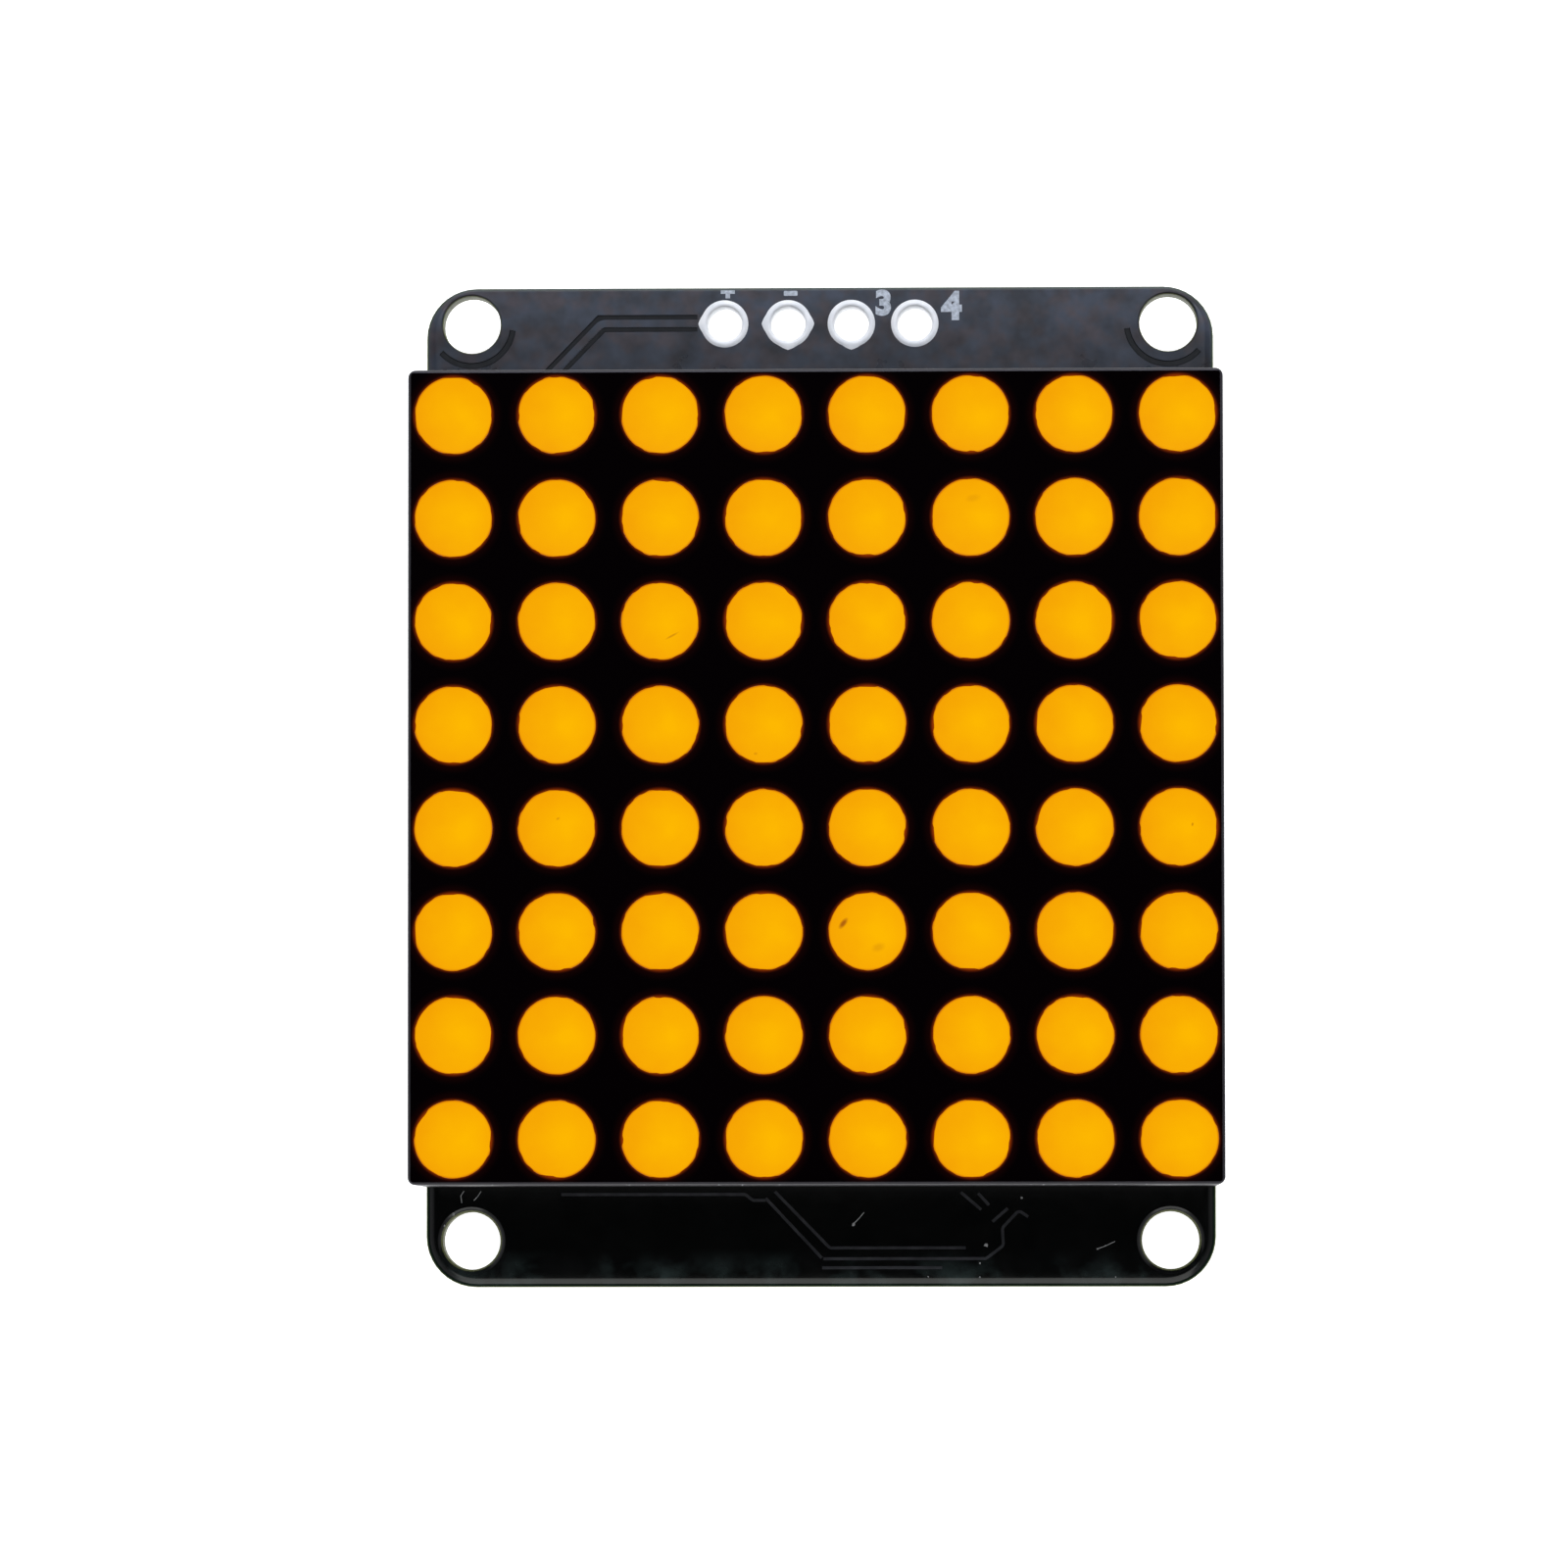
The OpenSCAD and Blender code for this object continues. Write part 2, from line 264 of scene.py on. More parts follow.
mesh = bmesh.new()
wall_profile = [(0.08, board_front), (0.0, board_front + 0.08)]
wall_profile += [(inset, plate_top - edge_radius + rise) for inset, rise in rounding(edge_radius, 6)]
walls = [ring(mesh, rect_outline(display_side - 2 * inset, display_side - 2 * inset, 0.3 - inset), height)
         for inset, height in wall_profile]
for low, high in zip(walls, walls[1:]):
    band(mesh, low, high)
pocket_foot = ring(mesh, rect_outline(pocket_side, pocket_side, 0.15), board_front)
pocket_roof = ring(mesh, rect_outline(pocket_side, pocket_side, 0.15), cup_back)
band(mesh, pocket_roof, pocket_foot)
cup_steps = 48
cup_mouths = [ring(mesh, round_outline(dot_radius, cup_steps, at), plate_top) for at in dot_places]
cup_ends = [ring(mesh, round_outline(cup_back_radius, cup_steps, at), cup_back) for at in dot_places]
for mouth, end in zip(cup_mouths, cup_ends):
    band(mesh, mouth, end)
lid(mesh, walls[-1], cup_mouths)
lid(mesh, pocket_roof, cup_ends, up=False)
lid(mesh, walls[0], [pocket_foot], up=False)
hand_in(as_piece("housing_shell", mesh, abs_plastic), "housing_plastic", "display_housing")


# ---- Face ink ----
# The coat of black ink rolled over the front plate after the cups are filled. It leaves the
# 64 dots open with slightly uneven rims, and beside them a red glow of the lit resin is painted on it.
def dot_cell(add, place):
    """Place from the middle of the nearest dot, as a vector and as a length, in mm."""
    cell = add("ShaderNodeVectorMath", {
        0: place, "Scale": 1 / (dot_pitch * mm)}, operation="SCALE")
    cell = add("ShaderNodeVectorMath", {0: cell}, operation="FRACTION")
    cell = add("ShaderNodeVectorMath", {0: cell, 1: (0.5, 0.5, 0.0)}, operation="SUBTRACT")
    cell = add("ShaderNodeVectorMath", {
        0: cell, 1: (dot_pitch, dot_pitch, 0.0)}, operation="MULTIPLY")
    from_dot = add("ShaderNodeVectorMath", {0: cell}, operation="LENGTH").outputs["Value"]
    return cell, from_dot


ink, add, place = open_material("rolled_black_ink")
# Screen ink: dead black and almost without gloss; beside a dot it carries a painted dark red glow.
cell, from_dot = dot_cell(add, place)
rim_glow = add("ShaderNodeMapRange", {
    "Value": from_dot, "From Min": dot_radius + 0.12, "From Max": dot_radius - 0.05})
wide_glow = add("ShaderNodeMapRange", {
    "Value": from_dot, "From Min": dot_radius + 0.45, "From Max": dot_radius},
    interpolation_type="SMOOTHSTEP")
# Painted glow: a faint red halo spreading from each dot and a brighter red rim at its edge, emitted by the
# ink.
painted_red_halo = add("ShaderNodeMix", {
    0: wide_glow, 6: "#010000", 7: "#130201"}, data_type="RGBA")
painted_rim_glow_curve = add("ShaderNodeMath", {0: rim_glow, 1: 2.2}, operation="POWER")
glow = add("ShaderNodeMix", {
    0: painted_rim_glow_curve, 6: painted_red_halo.outputs[2], 7: "#8c3203"}, data_type="RGBA")
brushing = add("ShaderNodeTexNoise", {"Vector": place, "Scale": 1 / (0.25 * mm), "Detail": 3.0})
gloss = add("ShaderNodeMapRange", {"Value": brushing, "To Min": 0.35, "To Max": 0.5})
relief = add("ShaderNodeBump", {"Strength": 0.2, "Distance": 0.004 * mm, "Height": brushing})
shader = add("ShaderNodeBsdfPrincipled", {
    "Base Color": "#010001", "Roughness": gloss, "Normal": relief,
    "Specular IOR Level": 0.006, "Emission Color": glow.outputs[2], "Emission Strength": 1.0})
add("ShaderNodeOutputMaterial", {"Surface": shader})


def uneven_rim(at, steps, chance):
    """Dot opening in the ink: round, with a flat or two and small nicks along its rim."""
    flats = [(quarter * pi / 2 + chance.uniform(-0.12, 0.12), chance.choice((1.0, 0.985, 0.97, 0.96)))
             for quarter in range(4)]
    flats.append((chance.uniform(0, 2 * pi), chance.uniform(0.965, 0.99)))
    nicks = [chance.choice((-0.006, 0.0, 0.006, 0.014, 0.024)) for _ in range(steps // 2)]
    outline = []
    for step in range(steps):
        turn = 2 * pi * step / steps
        reach = 1.0
        for middle, depth in flats:
            if cos(turn - middle) > 0.5:
                reach = min(reach, depth / cos(turn - middle))
        reach -= nicks[step // 2]
        outline.append((at[0] + dot_radius * reach * cos(turn), at[1] + dot_radius * reach * sin(turn)))
    return outline


def grown(outline, at, by):
    """The same outline, moved outwards from its middle."""
    moved = []
    for x, y in outline:
        reach = hypot(x - at[0], y - at[1])
        moved.append((at[0] + (x - at[0]) * (1 + by / reach), at[1] + (y - at[1]) * (1 + by / reach)))
    return moved


chance = random.Random(8)
mesh = bmesh.new()
film_side = display_side - 2 * edge_radius
film_foot = ring(mesh, rect_outline(film_side, film_side, 0.1), plate_top)
film_edge = ring(mesh, rect_outline(film_side - 0.02, film_side - 0.02, 0.09), face_top)
band(mesh, film_foot, film_edge)
rims = [uneven_rim(at, 64, chance) for at in dot_places]
rims_low = [ring(mesh, rim, plate_top) for rim in rims]
rims_high = [ring(mesh, grown(rim, at, 0.012), face_top) for rim, at in zip(rims, dot_places)]
for low, high in zip(rims_low, rims_high):
    band(mesh, high, low)
lid(mesh, film_edge, rims_high)
lid(mesh, film_foot, rims_low, up=False)
hand_in(as_piece("face_ink", mesh, ink), "housing_plastic")


# ---- Lit resin ----
# One pour of amber epoxy with diffuser filler. It fills the 64 cups, where it shows as the
# dots, and locks the dice board into the housing. The dots are shown lit, as in use.
resin_back = 4.35
led_back = 5.05
led_front = 6.05
led_board_side = 29.8
die_side = 0.35
die_height = 0.2
pin_radius = 0.25
pin_pitch = 2.54
pins_per_row = 8
pin_row_y = 12.0
pin_places = [((place_x - (pins_per_row - 1) / 2) * pin_pitch, side * pin_row_y)
              for side in (-1, 1) for place_x in range(pins_per_row)]

amber, add, place = open_material("cast_amber_epoxy")
# Diffusing epoxy lit from behind: even amber, warmer and deeper towards the left rim, with a
# thin orange-brown line where it thins out at the cup, and a few specks sunk in it.
cell, from_dot = dot_cell(add, place)
from_heart = add("ShaderNodeVectorMath", {
    0: cell, 1: (0.4, -0.05, 0.0)}, operation="DISTANCE").outputs["Value"]
fade = add("ShaderNodeMapRange", {"Value": from_heart, "From Min": 0.1, "From Max": 1.9})
clouds = add("ShaderNodeTexNoise", {"Vector": place, "Scale": 1 / (1.1 * mm), "Detail": 3.0})
cloudy = add("ShaderNodeMapRange", {
    "Value": clouds, "From Min": 0.3, "From Max": 0.7, "To Min": -0.14, "To Max": 0.14})
fade = add("ShaderNodeMath", {0: fade, 1: cloudy}, operation="ADD", use_clamp=True)
lit = add("ShaderNodeMix", {
    0: fade, 6: "#fdb800", 7: "#f4a303"}, data_type="RGBA")
rim = add("ShaderNodeMapRange", {
    "Value": from_dot, "From Min": dot_radius - 0.10, "From Max": dot_radius + 0.02},
    interpolation_type="SMOOTHSTEP")
lit = add("ShaderNodeMix", {
    0: rim, 6: lit.outputs[2], 7: "#c05c08"}, data_type="RGBA")
# Sunk specks and scratches: middle, length, width, turn in degrees, strength.
sunk_marks = ((1.08, -5.78, 0.30, 0.13, 52, 0.85), (2.45, -6.72, 0.32, 0.20, 20, 0.22),
              (-5.62, 5.52, 0.34, 0.05, 28, 0.45), (-2.35, 0.88, 0.10, 0.07, 0, 0.30),
              (-10.1, -1.65, 0.10, 0.06, 30, 0.35), (14.75, -1.93, 0.09, 0.05, 80, 0.6),
              (6.2, 10.9, 0.35, 0.18, 10, 0.15))
stain = None
for x, y, length, width, turn, strength in sunk_marks:
    spot = add("ShaderNodeMapping", {
        "Vector": place, "Location": (x * mm, y * mm, plate_top * mm), "Rotation": (0, 0, radians(turn)),
        "Scale": (length * mm, width * mm, 5 * mm)}, vector_type="TEXTURE")
    spot = add("ShaderNodeVectorMath", {0: spot}, operation="LENGTH").outputs["Value"]
    spot = add("ShaderNodeMapRange", {
        "Value": spot, "From Min": 1.0, "From Max": 0.35, "To Max": strength})
    stain = add("ShaderNodeMath", {0: stain, 1: spot}, operation="MAXIMUM") if stain else spot
lit = add("ShaderNodeMix", {
    0: stain, 6: lit.outputs[2], 7: "#9a4a10"}, data_type="RGBA")
shader = add("ShaderNodeBsdfPrincipled", {
    "Base Color": "#3a2000", "Roughness": 0.16, "IOR": 1.54, "Specular IOR Level": 0.08,
    "Emission Color": lit.outputs[2], "Emission Strength": 0.97})
add("ShaderNodeOutputMaterial", {"Surface": shader})


def closed(mesh, rings):
    """Closed solid through rings, lowest first."""
    for low, high in zip(rings, rings[1:]):
        band(mesh, low, high)
    lid(mesh, rings[0], up=False)
    lid(mesh, rings[-1])


def turned(mesh, profile, steps=24, at=(0, 0), loop=False, sway=None):
    """A turned shape from radius and height pairs, run counter-clockwise, that loop or end level."""
    rings = []
    for radius, height in profile:
        outline = round_outline(radius, steps, at)
        if sway:
            scales = [sway(360 * step / steps, radius) for step in range(steps)]
            outline = [(at[0] + (x - at[0]) * scale, at[1] + (y - at[1]) * scale)
                       for (x, y), scale in zip(outline, scales)]
        rings.append(ring(mesh, outline, height))
    if not loop:
        closed(mesh, rings)
        return
    for low, high in zip(rings, rings[1:] + rings[:1]):
        band(mesh, low, high)


def new_tree(name, inputs):
    """A Geometry Nodes tree with named inputs; returns it with its two end nodes."""
    made = bpy.data.node_groups.new(name, "GeometryNodeTree")
    made.interface.new_socket(name="Geometry", in_out="INPUT", socket_type="NodeSocketGeometry")
    for label, kind in inputs.items():
        made.interface.new_socket(name=label, in_out="INPUT", socket_type="NodeSocket" + kind)
    made.interface.new_socket(name="Geometry", in_out="OUTPUT", socket_type="NodeSocketGeometry")
    return made, made.nodes.new("NodeGroupInput").outputs, made.nodes.new("NodeGroupOutput")


def plain_mesh(made):
    """An object as its modifiers leave it, as a new mesh."""
    bpy.context.view_layer.update()
    return bpy.data.meshes.new_from_object(made.evaluated_get(bpy.context.evaluated_depsgraph_get()))


def grow(piece, tree, values):
    """Runs a tree on a piece and keeps the result as its plain mesh."""
    modifier = piece.modifiers.new(tree.name, "NODES")
    modifier.node_group = tree
    for item in tree.interface.items_tree:
        if item.in_out == "INPUT" and item.name in values:
            modifier[item.identifier] = values[item.name]
    made = plain_mesh(piece)
    piece.modifiers.clear()
    piece.data = made
    made.name = piece.name


# Repeats a shape over a grid of places round the middle, each turned by chance up to Turn.
grid_tree, given, result = new_tree("repeat_on_grid", {
    "Columns": "Int", "Rows": "Int", "Column pitch": "Float", "Row pitch": "Float",
    "Turn": "Float", "Seed": "Int", "Material": "Material"})
spans = []
for count, pitch in (("Columns", "Column pitch"), ("Rows", "Row pitch")):
    gaps = add_node(grid_tree, "ShaderNodeMath", {0: given[count], 1: 1.0}, operation="SUBTRACT")
    spans.append(add_node(grid_tree, "ShaderNodeMath", {0: gaps, 1: given[pitch]}, operation="MULTIPLY"))
grid = add_node(grid_tree, "GeometryNodeMeshGrid", {
    "Size X": spans[0], "Size Y": spans[1], "Vertices X": given["Columns"], "Vertices Y": given["Rows"]})
turn = add_node(grid_tree, "FunctionNodeRandomValue", {2: 0.0, 3: given["Turn"], "Seed": given["Seed"]})
turn = add_node(grid_tree, "ShaderNodeCombineXYZ", {"Z": turn.outputs[1]})
copies = add_node(grid_tree, "GeometryNodeInstanceOnPoints", {
    "Points": grid, "Instance": given["Geometry"], "Rotation": turn})
copies = add_node(grid_tree, "GeometryNodeRealizeInstances", {"Geometry": copies})
copies = add_node(grid_tree, "GeometryNodeSetMaterial", {"Geometry": copies, "Material": given["Material"]})
grid_tree.links.new(copies.outputs[0], result.inputs[0])

mesh = bmesh.new()
dish = 0.03
dot_profile = [(cup_back_radius - 0.015, cup_back - 0.05), (dot_radius - 0.004, plate_top)]
dot_profile += [(dot_radius * part, plate_top - dish * (1 - part ** 2))
                for part in (0.96, 0.88, 0.72, 0.5, 0.25)]
turned(mesh, dot_profile, cup_steps)
resin = as_piece("lit_resin", mesh, amber)
grow(resin, grid_tree, {"Columns": dots, "Rows": dots, "Column pitch": dot_pitch * mm,
                        "Row pitch": dot_pitch * mm, "Turn": 0.0, "Seed": 1, "Material": amber})
mesh = bmesh.new()
mesh.from_mesh(resin.data)
slab_side = pocket_side - 0.01
slab_foot = ring(mesh, rect_outline(slab_side, slab_side, 0.15), resin_back)
slab_top = ring(mesh, rect_outline(slab_side, slab_side, 0.15), cup_back)
band(mesh, slab_foot, slab_top)
lid(mesh, slab_top)
nest_foot = ring(mesh, rect_outline(led_board_side, led_board_side), led_back)
nest_roof = ring(mesh, rect_outline(led_board_side, led_board_side), led_front)
band(mesh, nest_roof, nest_foot)
pin_ends = [ring(mesh, round_outline(pin_radius, 16, at), resin_back) for at in pin_places]
pin_tops = [ring(mesh, round_outline(pin_radius, 16, at), led_back) for at in pin_places]
for end, top in zip(pin_ends, pin_tops):
    band(mesh, top, end)
lid(mesh, slab_foot, pin_ends, up=False)
lid(mesh, nest_foot, pin_tops)
die_feet = [ring(mesh, rect_outline(die_side, die_side, at=at), led_front) for at in dot_places]
die_tops = [ring(mesh, rect_outline(die_side, die_side, at=at), led_front + die_height) for at in dot_places]
for foot, top in zip(die_feet, die_tops):
    band(mesh, top, foot)
    lid(mesh, top, up=False)
lid(mesh, nest_roof, die_feet, up=False)
mesh.to_mesh(resin.data)
mesh.free()
resin.data.set_sharp_from_angle(angle=radians(38))
hand_in(resin, "diffuser_resin", "diffuser_resin")


# ---- Dice board and dice ----
# Sealed in the resin: a white-masked glass laminate board with one light-emitting die behind
# each dot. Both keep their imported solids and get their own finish.
def two_toned(name, patch, detail, first, second, fixed, spread=None, gloss=None, relief=None):
    """A material that drifts between two colours over patches, sized in mm. spread is the part of
    the drift used, gloss its roughness from end to end, relief a bump's strength and mm."""
    made, add, place = open_material(name)
    drift = add("ShaderNodeTexNoise", {
        "Vector": place, "Scale": 1 / (patch * mm), "Detail": detail})
    if spread:
        drift = add("ShaderNodeMapRange", {
            "Value": drift, "From Min": spread[0], "From Max": spread[1]})
    colour = add("ShaderNodeMix", {0: drift, 6: first, 7: second}, data_type="RGBA")
    inputs = {"Base Color": colour.outputs[2], **fixed}
    if gloss:
        inputs["Roughness"] = add("ShaderNodeMapRange", {
            "Value": drift, "To Min": gloss[0], "To Max": gloss[1]})
    if relief:
        inputs["Normal"] = add("ShaderNodeBump", {
            "Strength": relief[0], "Distance": relief[1] * mm, "Height": drift})
    shader = add("ShaderNodeBsdfPrincipled", inputs)
    add("ShaderNodeOutputMaterial", {"Surface": shader})
    return made


def refinish(node, material):
    """Gives a CAD node that keeps its shape a better material."""
    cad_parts[node].data.materials.clear()
    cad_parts[node].data.materials.append(material)


# Liquid white mask, printed and cured: creamy and glossy, with a faint orange-peel.
white_mask = two_toned("white_solder_mask", 0.4, 2.0, "#e2ddcb", "#f0ede0", {"Roughness": 0.3, "IOR": 1.5},
                       relief=(0.2, 0.01))
refinish("led_board", white_mask)

crystal, add, place = open_material("gallium_phosphide_crystal")
# Sawn semiconductor crystal: deep orange and glassy, with fine upright saw marks.
saw = add("ShaderNodeTexWave", {
    "Vector": place, "Scale": 1 / (0.12 * mm), "Distortion": 1.5}, bands_direction="X")
colour = add("ShaderNodeMix", {
    0: saw.outputs["Fac"], 6: "#c4590c", 7: "#e88a2a"}, data_type="RGBA")
shader = add("ShaderNodeBsdfPrincipled", {
    "Base Color": colour.outputs[2], "Roughness": 0.12, "IOR": 3.0,
    "Emission Color": "#ffb020", "Emission Strength": 2.0})
add("ShaderNodeOutputMaterial", {"Surface": shader})
refinish("led_dice", crystal)


# ---- Board ----
# The carrier board: 1.6 mm glass-epoxy laminate, drilled and routed to a round-cornered
# outline, with black solder mask on both faces that thins out and drops just inside the edge.
board_back = 2.45
board_width = 31.5
board_length = 40.0
corner_radius = 2.0
mount_radius = 1.15
header_y = 18.55
mount_places = [(side * 13.95, y) for side in (-1, 1) for y in (header_y, -18.15)]
header_places = [((place_x - 1.5) * pin_pitch, header_y) for place_x in range(4)]
tube_radius = 0.75
barrel_radius = 0.45
# Inset from the edge and drop below the face, from the bare laminate inwards. Along the
# header's edge the same steps lie closer together, because the holes leave little room.
mask_edge = ((0.0, 0.10), (0.03, 0.085), (0.13, 0.082), (0.16, 0.070), (0.28, 0.018), (0.36, 0.0))
header_edge_share = 0.34
bare_steps = 1


def widened(path, reach):
    """Outline round an open path, reach to either side, counter-clockwise from above."""
    sides = [[], []]
    for here, (x, y) in enumerate(path):
        before = path[max(here - 1, 0)]
        after = path[min(here + 1, len(path) - 1)]
        heading_in = Vector((x - before[0], y - before[1]))
        heading_out = Vector((after[0] - x, after[1] - y))
        heading_in = heading_in.normalized() if heading_in.length else heading_out.normalized()
        heading_out = heading_out.normalized() if heading_out.length else heading_in
        along = (heading_in + heading_out).normalized()
        far = reach / max(along.dot(heading_in), 0.3)
        for side, outline in zip((-1, 1), sides):
            outline.append((x - side * along.y * far, y + side * along.x * far))
    return sides[0] + sides[1][::-1]


def arc_path(middle, radius, start, end, steps):
    """Points along an arc, angles in degrees."""
    turns = [radians(start + (end - start) * step / steps) for step in range(steps + 1)]
    return [(middle[0] + radius * cos(turn), middle[1] + radius * sin(turn)) for turn in turns]


solder_mask, add, place = open_material("black_solder_mask")
# Liquid epoxy mask over etched copper: black with a cold cast, satin, and rougher towards the header,
# where cloudy bluish and reddish grey patches are partly flux and handling haze, partly a painted sheen.
clouds = add("ShaderNodeTexNoise", {
    "Vector": place, "Scale": 1 / (2.2 * mm), "Detail": 4.0, "Roughness": 0.6})
mottle = add("ShaderNodeTexNoise", {
    "Vector": place, "Scale": 1 / (0.9 * mm), "Detail": 2.0, "Roughness": 0.5})
tint = add("ShaderNodeTexNoise", {"Vector": place, "Scale": 1 / (0.8 * mm), "Detail": 2.0})
height = add("ShaderNodeSeparateXYZ", {"Vector": place}).outputs["Y"]
header_strip = add("ShaderNodeMapRange", {
    "Value": height, "From Min": 12.5 * mm, "From Max": 20.5 * mm})
# Grey cloudy patches, stronger towards the header: partly flux haze, partly a painted sheen for the
# header-side lamp's reflection.
haze_and_painted_sheen = add("ShaderNodeMath", {0: clouds, 1: mottle}, operation="ADD")
haze_and_painted_sheen = add("ShaderNodeMapRange", {
    "Value": haze_and_painted_sheen, "From Min": 0.75, "From Max": 1.35, "To Min": 0.3})
haze_and_painted_sheen = add("ShaderNodeMath", {0: haze_and_painted_sheen, 1: header_strip}, operation="MULTIPLY")
warm = add("ShaderNodeMapRange", {"Value": tint, "From Min": 0.42, "From Max": 0.62})
dust_and_sheen_tint = add("ShaderNodeMix", {
    0: warm, 6: "#40495a", 7: "#4f474f"}, data_type="RGBA")
colour = add("ShaderNodeMix", {
    0: haze_and_painted_sheen, 6: "#020303", 7: dust_and_sheen_tint.outputs[2]}, data_type="RGBA")
# Measured outwards from the corners' centres, so it follows the board's edge all the way round.
from_core = add("ShaderNodeVectorMath", {0: place}, operation="ABSOLUTE")
from_core = add("ShaderNodeVectorMath", {
    0: from_core, 1: ((board_width / 2 - corner_radius) * mm, (board_length / 2 - corner_radius) * mm, 1.0)},
    operation="SUBTRACT")
from_core = add("ShaderNodeVectorMath", {0: from_core, 1: (0.0, 0.0, 0.0)}, operation="MAXIMUM")
from_core = add("ShaderNodeVectorMath", {0: from_core}, operation="LENGTH").outputs["Value"]
# Painted light: paler greenish-grey cloudy patches towards the lower edge, where the header-side lamp reaches
# past the display.
near_strip = add("ShaderNodeMapRange", {
    "Value": height, "From Min": -18.5 * mm, "From Max": -19.6 * mm})
painted_edge_light = add("ShaderNodeMapRange", {"Value": clouds, "From Min": 0.47, "From Max": 0.68})
painted_edge_light = add("ShaderNodeMath", {0: painted_edge_light, 1: near_strip}, operation="MULTIPLY")
colour = add("ShaderNodeMix", {
    0: painted_edge_light, 6: colour.outputs[2], 7: "#2c3736"}, data_type="RGBA")
thinned = add("ShaderNodeMapRange", {
    "Value": from_core, "From Min": (corner_radius - 0.13) * mm, "From Max": (corner_radius - 0.02) * mm})
colour = add("ShaderNodeMix", {
    0: thinned, 6: colour.outputs[2], 7: "#1d3324"}, data_type="RGBA")
gloss = add("ShaderNodeMapRange", {
    "Value": mottle, "From Min": 0.3, "From Max": 0.7, "To Min": 0.16, "To Max": 0.21})
hazed_gloss = add("ShaderNodeMath", {0: header_strip, 1: 0.19}, operation="MULTIPLY")
gloss = add("ShaderNodeMath", {0: gloss, 1: hazed_gloss}, operation="ADD")
relief = add("ShaderNodeBump", {"Strength": 0.12, "Distance": 0.01 * mm, "Height": mottle})
shader = add("ShaderNodeBsdfPrincipled", {
    "Base Color": colour.outputs[2], "Roughness": gloss, "Normal": relief, "IOR": 1.5})
add("ShaderNodeOutputMaterial", {"Surface": shader})

# The same mask where it lies on bare laminate between coppers: deeper and duller, and blacker, partly for the
# laminate below and partly as painted shade in the grooves.
groove_mask_and_shade = two_toned("black_mask_in_groove_painted_shade", 0.4, 3.0, "#040506", "#1a1c20",
                        {"Roughness": 0.4, "Specular IOR Level": 0.22, "IOR": 1.5})

laminate, add, place = open_material("routed_glass_epoxy")
# Cut edge of woven glass in epoxy: olive yellow and slightly see-through, so light from below
# makes it glow, with the glass layers as fine level lines.
layers = add("ShaderNodeTexWave", {
    "Vector": place, "Scale": 1 / (0.64 * mm), "Distortion": 1.5, "Detail Scale": 2.0}, bands_direction="Z")
fibres = add("ShaderNodeTexNoise", {"Vector": place, "Scale": 1 / (0.12 * mm), "Detail": 3.0})
colour = add("ShaderNodeMix", {
    0: layers.outputs["Fac"], 6: "#63673f", 7: "#74784f"}, data_type="RGBA")
relief = add("ShaderNodeBump", {"Strength": 0.5, "Distance": 0.02 * mm, "Height": fibres})
shader = add("ShaderNodeBsdfPrincipled", {
    "Base Color": colour.outputs[2], "Roughness": 0.55, "Normal": relief, "IOR": 1.52,
    "Subsurface Weight": 0.3, "Subsurface Radius": (0.6, 0.8, 0.3), "Subsurface Scale": 0.5 * mm})
add("ShaderNodeOutputMaterial", {"Surface": shader})

mesh = bmesh.new()
front_rings = []
for side, face_height in ((-1, board_back), (1, board_front)):
    rings = []
    for inset, drop in mask_edge:
        upper_inset = header_edge_share * inset
        outline = rect_outline(board_width - 2 * inset, board_length - inset - upper_inset,
                               corner_radius - inset, 10, (0, (inset - upper_inset) / 2))
        rings.append(ring(mesh, outline, face_height - side * drop))
    front_rings.append(rings)
    for step, (outside, inside) in enumerate(zip(rings, rings[1:])):
        low, high = (outside, inside) if side > 0 else (inside, outside)
        band(mesh, low, high, 1 if step < bare_steps else 0)
band(mesh, front_rings[0][0], front_rings[1][0], 1)

holes = {-1: [], 1: []}
# Share of a hole's flare and drop below the face; the flare has more room away from the header.
hole_profile = ((1.0, 0.0), (0.75, 0.020), (0.35, 0.058), (0.0, 0.11))
for at in mount_places:
    flare = 0.08 if at[1] > 0 else 0.20
    ends = {}
    for side, face_height in ((-1, board_back), (1, board_front)):
        rings = [ring(mesh, round_outline(mount_radius + flare * share, 40, at), face_height - side * drop)
                 for share, drop in hole_profile]
        for step, (outside, inside) in enumerate(zip(rings, rings[1:])):
            low, high = (outside, inside) if side > 0 else (inside, outside)
            band(mesh, high, low, 1 if step == 2 else 0)
        holes[side].append(rings[0])
        ends[side] = rings[-1]
    band(mesh, ends[1], ends[-1], 1)
for radius, steps, places in ((tube_radius, 32, header_places), (barrel_radius, 20, pin_places)):
    for at in places:
        low = ring(mesh, round_outline(radius, steps, at), board_back)
        high = ring(mesh, round_outline(radius, steps, at), board_front)
        band(mesh, high, low, 1)
        holes[-1].append(low)
        holes[1].append(high)

# Channels etched into the copper beside the power track and round the upper mounting holes.
channel_depth = 0.035
channel_reach = 1.66
power_half = 0.34        # half the power channel's width at its brink
arc_half = 0.12          # and half an arc's
channel_slope = 0.03
power_track = [(-4.9, 18.58), (-8.75, 18.58), (-11.35, 15.9)]
channels = [(widened(power_track, power_half), widened(power_track, power_half - channel_slope))]
for middle, start, end in ((mount_places[0], 222, 352), (mount_places[2], 188, 318)):
    path = arc_path(middle, channel_reach, start, end, 20)
    channels.append((widened(path, arc_half), widened(path, arc_half - channel_slope)))
for brink, bottom in channels:
    brink = ring(mesh, brink, board_front)
    bottom = ring(mesh, bottom, board_front - channel_depth)
    band(mesh, brink, bottom, 2)
    lid(mesh, bottom, material=2)
    holes[1].append(brink)
lid(mesh, front_rings[1][-1], holes[1])
lid(mesh, front_rings[0][-1], holes[-1], up=False)
board = as_piece("carrier_board", mesh, solder_mask, laminate, groove_mask_and_shade, crease=20)
hand_in(board, "board_laminate", "circuit_board")


